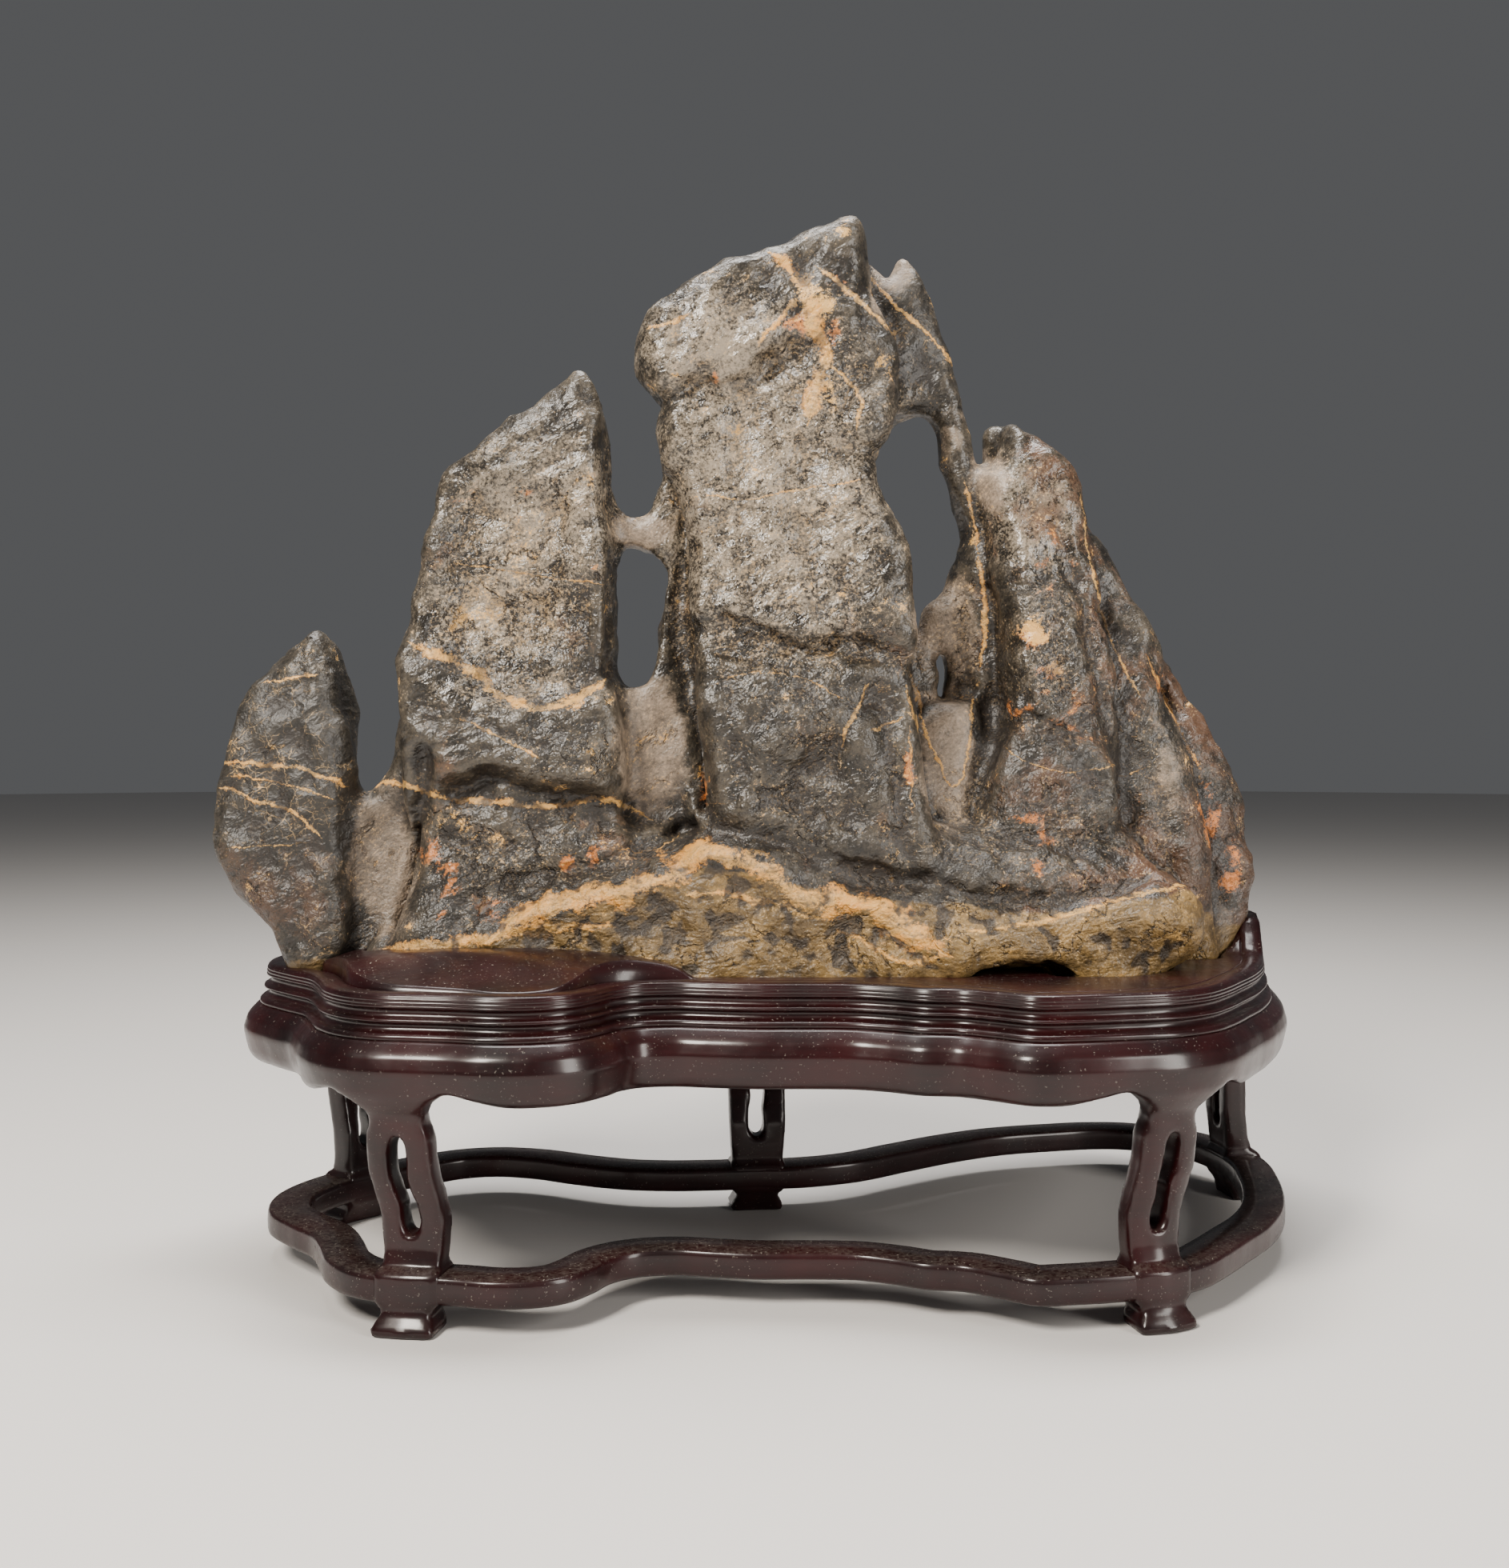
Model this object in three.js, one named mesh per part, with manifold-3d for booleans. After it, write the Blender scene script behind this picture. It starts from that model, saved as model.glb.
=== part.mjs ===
// A scholar's stone like a range of peaks, standing in a carved wooden stand with five legs.
// Millimetres, +Z up, the front faces -Y.
import * as THREE from 'three';
import { mergeVertices } from 'three/addons/utils/BufferGeometryUtils.js';
import Module from 'manifold-3d';

const wasm = await Module();
wasm.setup();

// Driving sizes of the stand
const GAP = 0.3;
const APRON_BOTTOM = 72;
const APRON_TOP = 93;
const APRON_BULGE = 8.5;
const APRON_INNER = -4;
const APRON_CORNER_RISE = 4.5;
const APRON_CORNER_REACH = 26;
const BOARD_BOTTOM = APRON_TOP + GAP;
const RIM_HEIGHT = 107;
const SOCKET_FLOOR = 98;
const RAIL_BOTTOM = 9.5;
const RAIL_TOP = 18.5;
const RAIL_WIDTH = 15;
const LEG_BLOCK_HALF = 15;
const LEG_HALF = 12;
const NECK_HALF = 8.8;
const FOOT_HALF = 12;
const LEG_THICKNESS = 9.5;
const LEG_DRIFT = 4.5;
const SLOT_HALF = 4;
const SLOT_LOW = 30;
const SLOT_HIGH = 62;

// The middle of the whole object's box, taken off every piece so that it stands on the origin
const MIDDLE_X = 9;
const MIDDLE_Y = 104;

// Plan outline of the stretcher ring, counter-clockwise from the front left leg, seen from above
const OUTLINE = [
  [-120, 5], [-109, 3], [-96, 1], [-82, -2], [-68, -1], [-58, 4], [-51, 13], [-46, 22], [-38, 28],
  [-26, 30], [-14, 28], [0, 26], [18, 26], [34, 25], [45, 21], [55, 16], [67, 14], [77, 8], [88, 1],
  [102, 2], [118, 5], [133, 9], [147, 18], [157, 29], [168, 43], [181, 60], [191, 78], [198, 98],
  [203, 120], [206, 142], [204, 164], [197, 184], [183, 200], [164, 209], [146, 210], [125, 206],
  [101, 199], [78, 187], [55, 171], [34, 156], [14, 149], [0, 148], [-16, 146], [-34, 145],
  [-50, 147], [-66, 153], [-85, 162], [-105, 166], [-123, 162], [-139, 151], [-155, 137],
  [-168, 122], [-176, 105], [-178, 90], [-174, 74], [-163, 60], [-152, 48], [-146, 36],
  [-140, 22], [-131, 11],
];

// Where the legs stand on that outline
const LEGS = {
  front_left: [-113, 4],
  front_right: [134, 9.5],
  right: [204, 162],
  back: [0, 148],
  left: [-161, 131],
};
// Rows of a leg from the floor up: height, outer offset from the outline, thickness, half width
const LEG_ROWS = [
  [0, 4.5, 15, FOOT_HALF], [2.5, 4.5, 15, FOOT_HALF], [7, 0.5, 14, 8.5],
  [RAIL_BOTTOM, 0.6, 15.4, LEG_HALF],
  [RAIL_TOP, 0.6, 15.4, LEG_HALF], [21, -3.5, LEG_THICKNESS, 11],
  [26, -LEG_DRIFT, LEG_THICKNESS, LEG_HALF], [36, -LEG_DRIFT + 0.4, LEG_THICKNESS, LEG_HALF],
  [50, -1, LEG_THICKNESS, LEG_HALF], [61, 0, LEG_THICKNESS, 11.5], [69, 1.2, LEG_THICKNESS, NECK_HALF],
  [APRON_BOTTOM + APRON_CORNER_RISE, 6.6, 12, LEG_BLOCK_HALF], [84, APRON_BULGE, 12.5, LEG_BLOCK_HALF],
  [89, 7.2, 11.2, LEG_BLOCK_HALF], [APRON_TOP, 3, 7, LEG_BLOCK_HALF],
];
// Section of the apron: offset from the outline and height
const APRON_SECTION = [
  [APRON_INNER, APRON_BOTTOM], [5, APRON_BOTTOM], [APRON_BULGE, 82], [7.2, 89], [3, APRON_TOP],
  [APRON_INNER, APRON_TOP],
];
// Edge mouldings of the board from its underside up to the rim: offset and height
const BOARD_MOULDING = [
  [1.5, BOARD_BOTTOM], [2.6, 94.6], [0.5, 97.3], [-2.6, 98.6], [-1.6, 100.2], [-2.6, 105],
  [-5.2, RIM_HEIGHT],
];

// The hill of the board in front of the stone on the left, and the wall at its right end
const HILL = { x: -88, halfWidth: 66, height: 9.8, front: 2, back: 42 };
const END_WALL = { x: 192, y: 122, radius: 16, height: 14 };

// Slabs that the stone is made of, each an outline in X and Z (front view, in mm) with its depth Y,
// its lean (mm of depth per mm of height), its half thickness at the foot and at the tip and the
// radius of its edges
const SLABS = {
  left_blade: {
    depth: 80, lean: 0.05, half: [20, 11], round: 11,
    outline: [
      [-159, 227], [-152, 212], [-148, 187], [-146, 152], [-145, 130], [-148, 112], [-154, 103],
      [-162, 105], [-170, 115], [-184, 134], [-191, 156], [-192, 180], [-186, 202], [-173, 216],
    ],
  },
  left_web: {
    depth: 92, lean: 0, half: [9, 7], round: 6,
    outline: [
      [-152, 169], [-144, 167], [-138, 170], [-132, 183], [-128, 198], [-118, 208], [-112, 165],
      [-118, 104], [-155, 104],
    ],
  },
  left_peak: {
    depth: 78, lean: 0, half: [27, 15], round: 14,
    outline: [
      [-61, 321], [-57, 313], [-55, 303], [-55, 280], [-52, 244], [-50, 203], [-49, 177], [-55, 168],
      [-73, 168], [-102, 171], [-117, 168], [-124, 190], [-124, 217], [-119, 244], [-115, 270],
      [-109, 284], [-94, 296], [-81, 303],
    ],
  },
  left_foot: {
    depth: 84, lean: -0.02, half: [34, 26], round: 18,
    outline: [
      [-121, 178], [-88, 188], [-45, 186], [-25, 170], [-20, 98], [-138, 98], [-131, 125], [-125, 150],
    ],
  },
  middle_web: {
    depth: 90, lean: 0, half: [12, 7], round: 6,
    outline: [
      [-58, 288], [-52, 274], [-44, 269], [-36, 273], [-30, 289], [-20, 283], [-12, 224], [-12, 104],
      [-56, 104], [-60, 195],
    ],
  },
  main_column: {
    depth: 78, lean: 0.03, half: [33, 20], round: 17,
    outline: [
      [33, 375], [37, 371], [41, 356], [48, 340], [53, 322], [50, 304], [44, 288], [45, 273], [53, 262],
      [55, 230], [59, 186], [63, 137], [64, 104], [-28, 104], [-23, 154], [-21, 195], [-26, 240],
      [-27, 268], [-32, 288], [-34, 305], [-40, 319], [-41, 328], [-33, 343], [-14, 358], [10, 367],
    ],
  },
  crest_shard: {
    depth: 104, lean: 0.02, half: [14, 9], round: 8,
    outline: [
      [38, 371], [48, 364], [54, 370], [59, 369], [69, 348], [78, 320], [83, 293], [90, 255], [92, 228],
      [92, 205], [84, 197], [81, 225], [80, 246], [74, 276], [68, 302], [60, 310], [48, 302], [33, 305],
    ],
  },
  right_web: {
    depth: 110, lean: 0, half: [14, 7], round: 6,
    outline: [
      [44, 238], [58, 231], [66, 241], [73, 247], [79, 266], [90, 271], [99, 250], [102, 190], [99, 104],
      [46, 104],
    ],
  },
  right_peak: {
    depth: 92, lean: 0.06, half: [32, 14], round: 12,
    outline: [
      [97, 307], [102, 302], [110, 296], [120, 287], [124, 270], [131, 221], [133, 189], [138, 140],
      [140, 104], [68, 104], [77, 140], [86, 182], [92, 215], [89, 245], [84, 276], [86, 289], [92, 294],
    ],
  },
  tooth: {
    depth: 114, lean: 0, half: [8, 5], round: 4,
    outline: [[91, 307], [96, 300], [104, 280], [96, 260], [85, 280], [84, 290]],
  },
  right_shoulder: {
    depth: 116, lean: 0.04, half: [30, 13], round: 12,
    outline: [
      [114, 290], [124, 278], [134, 261], [147, 240], [157, 215], [162, 183], [169, 140], [172, 104],
      [120, 104], [118, 200],
    ],
  },
  right_wing: {
    depth: 130, lean: 0.02, half: [26, 11], round: 10,
    outline: [
      [150, 240], [158, 229], [167, 208], [178, 191], [187, 168], [190, 140], [184, 104], [160, 104],
      [158, 190],
    ],
  },
  base: {
    depth: 89.5, lean: -0.04, half: [45.5, 36], round: 22,
    outline: [
      [-136, 112], [-122, 132], [-70, 150], [-20, 158], [60, 156], [120, 146], [160, 138], [169, 122],
      [160, 90], [-150, 90],
    ],
  },
  back_base: {
    depth: 132, lean: -0.06, half: [40, 28], round: 22,
    outline: [[62, 120], [72, 144], [100, 158], [154, 148], [176, 122], [170, 90], [60, 90]],
  },
  back_left_ridge: {
    depth: 113, lean: -0.05, half: [21, 9], round: 9,
    outline: [[-92, 262], [-76, 240], [-66, 190], [-58, 104], [-118, 104], [-108, 190], [-102, 240]],
  },
  back_middle_ridge: {
    depth: 107, lean: -0.05, half: [28, 11], round: 11,
    outline: [[6, 318], [24, 290], [34, 240], [42, 170], [50, 104], [-24, 104], [-14, 180], [-6, 260]],
  },
  back_right_ridge: {
    depth: 142, lean: -0.06, half: [26, 10], round: 10,
    outline: [[118, 226], [134, 206], [152, 160], [166, 104], [74, 104], [92, 160], [104, 206]],
  },
};

// Openings that go right through the stone, as outlines in X and Z
const HOLES = [
  [
    [-44, 258], [-36, 254], [-33, 243], [-35, 222], [-39, 208], [-47, 208], [-51, 224], [-53, 245],
    [-50, 256],
  ],
  [
    [59, 309], [68, 302], [73, 278], [79, 264], [73, 250], [71, 243], [62, 238], [59, 226], [55, 232],
    [54, 258], [45, 274], [46, 290], [53, 304],
  ],
  [[70, 220], [73, 216], [72, 203], [69, 202], [68, 212]],
];

// Hollows, ledges and creases in the stone's front and back: a line in X and Z, how wide and how deep
const FRONT_CREASES = [
  { line: [[-18, 224], [6, 219], [30, 216], [48, 220]], width: 6, depth: 5 },
  { line: [[-112, 172], [-75, 168], [-50, 170]], width: 6, depth: 4 },
  { line: [[-118, 216], [-96, 206], [-70, 201], [-54, 208]], width: 7, depth: 2.5 },
  { line: [[-60, 150], [-20, 162], [20, 156], [60, 142]], width: 8, depth: 3 },
  { line: [[124, 268], [132, 215], [144, 150]], width: 6, depth: 4 },
  { line: [[154, 232], [162, 190], [172, 130]], width: 6, depth: 4 },
];
const BACK_CREASES = [
  { line: [[-84, 280], [-78, 220], [-88, 150]], width: 7, depth: 5 },
  { line: [[20, 330], [6, 260], [18, 190], [4, 140]], width: 8, depth: 6 },
  { line: [[100, 262], [112, 190], [100, 140]], width: 7, depth: 5 },
  { line: [[-20, 176], [40, 186], [90, 172]], width: 8, depth: 5 },
];
const BLEND = 7;
const HOLE_BLEND = 4;

// The grid on which the stone's surface is found
const CELL = 10.5;
const GRID_LOW = [-213, 22, 76];
const GRID_HIGH = [212, 190, 390];
const STONE_FOOT = SOCKET_FLOOR + GAP;
const UNDERSIDE = STONE_FOOT - 6;
const SOCKET_AIR = 0.7;

const clamp = (value, low, high) => Math.min(Math.max(value, low), high);

function smoothStep(low, high, value) {
  const t = clamp((value - low) / (high - low), 0, 1);
  return t * t * (3 - 2 * t);
}

// Plan outline as a dense loop of points with normals, so that a place on it is a length and an offset
const PLAN_SAMPLES = 600;
const NORMAL_REACH = 6;
const plan = makePlan();

function makePlan() {
  const knots = OUTLINE.map(([x, y]) => new THREE.Vector3(x, y, 0));
  const curve = new THREE.CatmullRomCurve3(knots, true, 'centripetal');
  const points = curve.getSpacedPoints(PLAN_SAMPLES).slice(0, PLAN_SAMPLES);
  const wrap = (i) => (i + PLAN_SAMPLES) % PLAN_SAMPLES;
  const normals = points.map((point, i) => {
    const normal = new THREE.Vector3();
    for (let k = -NORMAL_REACH; k <= NORMAL_REACH; k++) {
      const along = points[wrap(i + k + 1)].clone().sub(points[wrap(i + k - 1)]).normalize();
      normal.add(new THREE.Vector3(along.y, -along.x, 0));
    }
    return normal.normalize();
  });
  const length = curve.getLength();
  const nearest = ([x, y]) => {
    let best = 0;
    points.forEach((point, i) => {
      const isCloser = Math.hypot(point.x - x, point.y - y)
        < Math.hypot(points[best].x - x, points[best].y - y);
      if (isCloser) best = i;
    });
    return best / PLAN_SAMPLES * length;
  };
  return { points, normals, length, nearest, wrap };
}

// The right end of the stand leans in toward the top
const LEAN_IN = { amount: 8, from: 145, to: 200, low: 20, high: 75 };

// The point at a length s along the outline, moved outward by an offset and up to a height
function onOutline(s, offset, height) {
  const place = s / plan.length * PLAN_SAMPLES;
  const i = Math.floor(place);
  const a = plan.wrap(i % PLAN_SAMPLES);
  const b = plan.wrap(a + 1);
  const point = plan.points[a].clone().lerp(plan.points[b], place - i);
  const normal = plan.normals[a].clone().lerp(plan.normals[b], place - i).normalize();
  const x = point.x + normal.x * offset;
  const lean = LEAN_IN.amount * smoothStep(LEAN_IN.from, LEAN_IN.to, x)
    * smoothStep(LEAN_IN.low, LEAN_IN.high, height);
  return [x - lean, point.y + normal.y * offset, height];
}

// A closed body through a row of loops with equal numbers of points, capped at both ends
function loftLoops(loops) {
  const size = loops[0].length;
  const vertices = loops.flat();
  const faces = [];
  for (let row = 0; row + 1 < loops.length; row++) {
    for (let i = 0; i < size; i++) {
      const a = row * size + i;
      const b = row * size + (i + 1) % size;
      faces.push([a, b, b + size], [a, b + size, a + size]);
    }
  }
  for (const [row, turned] of [[0, true], [loops.length - 1, false]]) {
    const middle = vertices.length;
    const sum = loops[row].reduce((total, p) => total.map((v, axis) => v + p[axis]), [0, 0, 0]);
    vertices.push(sum.map((v) => v / size));
    for (let i = 0; i < size; i++) {
      const a = row * size + i;
      const b = row * size + (i + 1) % size;
      faces.push(turned ? [b, a, middle] : [a, b, middle]);
    }
  }
  return outwardGeometry(vertices, faces);
}

// A geometry of vertices and faces, turned so that its faces look outward
function outwardGeometry(vertices, faces) {
  let volume = 0;
  for (const [a, b, c] of faces) {
    const [p, q, r] = [a, b, c].map((i) => new THREE.Vector3(...vertices[i]));
    volume += p.dot(q.cross(r)) / 6;
  }
  const index = faces.flatMap(([a, b, c]) => (volume < 0 ? [a, c, b] : [a, b, c]));
  const geometry = new THREE.BufferGeometry();
  geometry.setAttribute('position', new THREE.Float32BufferAttribute(vertices.flat(), 3));
  geometry.setIndex(index);
  return geometry;
}

function toSolid(geometry) {
  const bare = geometry.clone();
  bare.deleteAttribute('normal');
  bare.deleteAttribute('uv');
  const merged = mergeVertices(bare, 1e-4);
  return new wasm.Manifold(new wasm.Mesh({
    numProp: 3,
    vertProperties: new Float32Array(merged.attributes.position.array),
    triVerts: new Uint32Array(merged.index.array),
  }));
}

function toGeometry(solid) {
  const mesh = solid.getMesh();
  const geometry = new THREE.BufferGeometry();
  geometry.setAttribute('position', new THREE.Float32BufferAttribute(mesh.vertProperties, 3));
  geometry.setIndex(Array.from(mesh.triVerts));
  return geometry;
}

// The stone as a function of a point: below zero inside it, about the distance in mm near its surface

const SMOOTH_STEPS = 3;
for (const slab of Object.values(SLABS)) slab.ring = smoothRing(slab.outline);
const holeRings = HOLES.map(smoothRing);

function smoothRing(outline) {
  const knots = outline.map(([x, z]) => new THREE.Vector3(x, z, 0));
  const curve = new THREE.CatmullRomCurve3(knots, true, 'centripetal');
  return curve.getPoints(outline.length * SMOOTH_STEPS).slice(1).map((p) => [p.x, p.y]);
}

function distanceToLine(x, z, [ax, az], [bx, bz]) {
  const ex = bx - ax;
  const ez = bz - az;
  const t = clamp(((x - ax) * ex + (z - az) * ez) / (ex * ex + ez * ez), 0, 1);
  return Math.hypot(x - ax - ex * t, z - az - ez * t);
}

function distanceToRing(x, z, ring) {
  let nearest = Infinity;
  let inside = false;
  ring.forEach((a, i) => {
    const b = ring[(i + 1) % ring.length];
    nearest = Math.min(nearest, distanceToLine(x, z, a, b));
    const crosses = (a[1] > z) !== (b[1] > z);
    if (crosses && x < (b[0] - a[0]) * (z - a[1]) / (b[1] - a[1]) + a[0]) inside = !inside;
  });
  return inside ? -nearest : nearest;
}

function smoothMin(a, b, reach) {
  const overlap = Math.max(reach - Math.abs(a - b), 0) / reach;
  return Math.min(a, b) - overlap * overlap * reach / 4;
}

function creaseDepth(x, z, creases) {
  let depth = 0;
  for (const crease of creases) {
    for (let i = 0; i + 1 < crease.line.length; i++) {
      const away = distanceToLine(x, z, crease.line[i], crease.line[i + 1]) / crease.width;
      depth = Math.max(depth, crease.depth * Math.exp(-away * away));
    }
  }
  return depth;
}

function bumps(x, y, z) {
  const tall = Math.sin(x * 0.17 + z * 0.035 + Math.sin(y * 0.09) * 1.3);
  const wide = Math.sin(z * 0.11 + x * 0.05 + 1.7) * Math.sin(x * 0.085 - y * 0.07 + 0.6);
  const small = Math.sin(x * 0.31 + y * 0.23 + 2.1) * Math.sin(z * 0.27 - y * 0.19);
  return 0.6 * tall + 0.8 * wide + 0.4 * small;
}

// What depends only on X and Z is worked out once for a column of points along Y
function columnOf(x, z) {
  const slabs = Object.values(SLABS).map((slab) => {
    const heights = slab.ring.map((p) => p[1]);
    const rise = clamp((z - SOCKET_FLOOR) / (Math.max(...heights) - SOCKET_FLOOR), 0, 1);
    return {
      edge: distanceToRing(x, z, slab.ring) + slab.round,
      depth: slab.depth + slab.lean * (z - SOCKET_FLOOR),
      core: slab.half[0] + (slab.half[1] - slab.half[0]) * rise - slab.round,
      round: slab.round,
    };
  });
  return {
    slabs,
    hole: Math.min(...holeRings.map((ring) => distanceToRing(x, z, ring))),
    front: creaseDepth(x, z, FRONT_CREASES),
    back: creaseDepth(x, z, BACK_CREASES),
  };
}

function stoneInColumn(column, x, y, z) {
  let value = Infinity;
  for (const slab of column.slabs) {
    const side = Math.abs(y - slab.depth) - slab.core;
    const outer = Math.hypot(Math.max(slab.edge, 0), Math.max(side, 0));
    value = smoothMin(value, outer + Math.min(Math.max(slab.edge, side), 0) - slab.round, BLEND);
  }
  const towardBack = smoothStep(75, 105, y);
  value += column.front * (1 - towardBack) + column.back * towardBack + bumps(x, y, z);
  value = -smoothMin(-value, column.hole, HOLE_BLEND);
  return Math.max(value, UNDERSIDE - z);
}

const stoneAt = (x, y, z) => stoneInColumn(columnOf(x, z), x, y, z);

// Corners of a grid cell, and the pairs of them that its edges join
const CORNERS = [0, 1, 2, 3, 4, 5, 6, 7].map((n) => [n & 1, (n >> 1) & 1, (n >> 2) & 1]);
const EDGES = [];
for (let a = 0; a < 8; a++) {
  for (const bit of [1, 2, 4]) {
    if (!(a & bit)) EDGES.push([a, a | bit]);
  }
}
const FACE_RINGS = [[0, 1, 3, 2], [4, 5, 7, 6], [0, 1, 5, 4], [2, 3, 7, 6], [0, 2, 6, 4], [1, 3, 7, 5]];

function groupsOf(corners) {
  const left = new Set(corners);
  let groups = 0;
  while (left.size) {
    groups++;
    const queue = [left.values().next().value];
    left.delete(queue[0]);
    while (queue.length) {
      const corner = queue.pop();
      for (const bit of [1, 2, 4]) {
        if (left.delete(corner ^ bit)) queue.push(corner ^ bit);
      }
    }
  }
  return groups;
}

// Samples the stone on the grid, and fills cells that its surface would cross twice
function sampleGrid() {
  const count = GRID_LOW.map((low, axis) => Math.ceil((GRID_HIGH[axis] - low) / CELL) + 1);
  const at = (i, j, k) => (k * count[1] + j) * count[0] + i;
  const place = (index, axis) => GRID_LOW[axis] + index * CELL;
  const values = new Float64Array(count[0] * count[1] * count[2]);
  for (let k = 0; k < count[2]; k++) {
    for (let i = 0; i < count[0]; i++) {
      const column = columnOf(place(i, 0), place(k, 2));
      for (let j = 0; j < count[1]; j++) {
        values[at(i, j, k)] = stoneInColumn(column, place(i, 0), place(j, 1), place(k, 2));
      }
    }
  }
  const cells = [];
  for (let k = 0; k + 1 < count[2]; k++) {
    for (let j = 0; j + 1 < count[1]; j++) {
      for (let i = 0; i + 1 < count[0]; i++) cells.push([i, j, k]);
    }
  }
  let changed = true;
  while (changed) {
    changed = false;
    for (const [i, j, k] of cells) {
      const ids = CORNERS.map(([a, b, c]) => at(i + a, j + b, k + c));
      const isIn = ids.map((id) => values[id] < 0);
      const inside = [0, 1, 2, 3, 4, 5, 6, 7].filter((n) => isIn[n]);
      const outside = [0, 1, 2, 3, 4, 5, 6, 7].filter((n) => !isIn[n]);
      if (!inside.length || !outside.length) continue;
      const crossed = FACE_RINGS.find(([a, b, c, d]) => (
        isIn[a] === isIn[c] && isIn[b] === isIn[d] && isIn[a] !== isIn[b]
      ));
      if (!crossed && groupsOf(inside) < 2 && groupsOf(outside) < 2) continue;
      const choices = (crossed || outside).filter((n) => !isIn[n]);
      choices.sort((a, b) => values[ids[a]] - values[ids[b]]);
      values[ids[choices[0]]] = -0.2 * CELL;
      changed = true;
    }
  }
  return { values, cells, at, place, count };
}

// The stone's surface: one vertex in each cell that it crosses, then moved onto the surface
function stoneSurface() {
  const { values, cells, at, place, count } = sampleGrid();
  const vertexOf = new Map();
  const vertices = [];
  for (const [i, j, k] of cells) {
    const ids = CORNERS.map(([a, b, c]) => at(i + a, j + b, k + c));
    const sum = [0, 0, 0];
    let crossings = 0;
    for (const [a, b] of EDGES) {
      const va = values[ids[a]];
      const vb = values[ids[b]];
      if ((va < 0) === (vb < 0)) continue;
      const t = va / (va - vb);
      crossings++;
      CORNERS[a].forEach((corner, axis) => {
        sum[axis] += corner + (CORNERS[b][axis] - corner) * t;
      });
    }
    if (!crossings) continue;
    vertexOf.set(at(i, j, k), vertices.length);
    vertices.push([i, j, k].map((index, axis) => place(index + sum[axis] / crossings, axis)));
  }
  const quads = [];
  const steps = [[1, 0, 0], [0, 1, 0], [0, 0, 1]];
  for (let k = 1; k + 1 < count[2]; k++) {
    for (let j = 1; j + 1 < count[1]; j++) {
      for (let i = 1; i + 1 < count[0]; i++) {
        steps.forEach(([di, dj, dk], axis) => {
          const here = values[at(i, j, k)] < 0;
          if (here === (values[at(i + di, j + dj, k + dk)] < 0)) return;
          const u = steps[(axis + 1) % 3];
          const v = steps[(axis + 2) % 3];
          const back = (p, q) => vertexOf.get(at(
            i - p * u[0] - q * v[0], j - p * u[1] - q * v[1], k - p * u[2] - q * v[2],
          ));
          const quad = [back(1, 1), back(0, 1), back(0, 0), back(1, 0)];
          quads.push(here ? quad : quad.reverse());
        });
      }
    }
  }
  return largestPart(vertices.map(ontoSurface), quads);
}

const SETTLE_STEPS = 3;
const SETTLE_LIMIT = 0.35 * CELL;

function ontoSurface(start) {
  let [x, y, z] = start;
  for (let step = 0; step < SETTLE_STEPS; step++) {
    const value = stoneAt(x, y, z);
    const gx = stoneAt(x + 0.5, y, z) - stoneAt(x - 0.5, y, z);
    const gy = stoneAt(x, y + 0.5, z) - stoneAt(x, y - 0.5, z);
    const gz = stoneAt(x, y, z + 0.5) - stoneAt(x, y, z - 0.5);
    const steep = Math.max(gx * gx + gy * gy + gz * gz, 0.2);
    const move = [-value * gx / steep, -value * gy / steep, -value * gz / steep];
    x = clamp(x + move[0], start[0] - SETTLE_LIMIT, start[0] + SETTLE_LIMIT);
    y = clamp(y + move[1], start[1] - SETTLE_LIMIT, start[1] + SETTLE_LIMIT);
    z = clamp(z + move[2], start[2] - SETTLE_LIMIT, start[2] + SETTLE_LIMIT);
  }
  return [x, y, z];
}

// Keeps the largest connected part and splits its quads along their shorter diagonal
function largestPart(vertices, quads) {
  const parent = vertices.map((_, i) => i);
  const find = (i) => {
    while (parent[i] !== i) i = parent[i] = parent[parent[i]];
    return i;
  };
  for (const quad of quads) {
    for (const corner of quad) parent[find(corner)] = find(quad[0]);
  }
  const sizes = new Map();
  vertices.forEach((_, i) => sizes.set(find(i), (sizes.get(find(i)) || 0) + 1));
  const main = [...sizes].sort((a, b) => b[1] - a[1])[0][0];
  const reach = (a, b) => Math.hypot(...vertices[a].map((v, axis) => v - vertices[b][axis]));
  const faces = quads.filter((quad) => find(quad[0]) === main).flatMap(([a, b, c, d]) => (
    reach(a, c) < reach(b, d) ? [[a, b, c], [a, c, d]] : [[b, c, d], [b, d, a]]
  ));
  const used = [...new Set(faces.flat())];
  const renamed = new Map(used.map((old, i) => [old, i]));
  const kept = used.map((old) => vertices[old]);
  return outwardGeometry(kept, faces.map((face) => face.map((i) => renamed.get(i))));
}

const stoneShape = stoneSurface();
stoneShape.computeVertexNormals();

// The stone stands on a flat foot
const makeStone = () => toGeometry(toSolid(stoneShape).trimByPlane([0, 0, 1], STONE_FOOT));

// What the carver takes out of the board: the stone's own shape with a little air around it
function socketCutter() {
  const grown = stoneShape.clone();
  const place = grown.attributes.position;
  const normal = grown.attributes.normal;
  for (let i = 0; i < place.count; i++) {
    place.setXYZ(
      i,
      place.getX(i) + normal.getX(i) * SOCKET_AIR,
      place.getY(i) + normal.getY(i) * SOCKET_AIR,
      place.getZ(i) + normal.getZ(i) * SOCKET_AIR,
    );
  }
  return toSolid(grown).add(toSolid(stoneShape)).trimByPlane([0, 0, 1], SOCKET_FLOOR);
}

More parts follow.
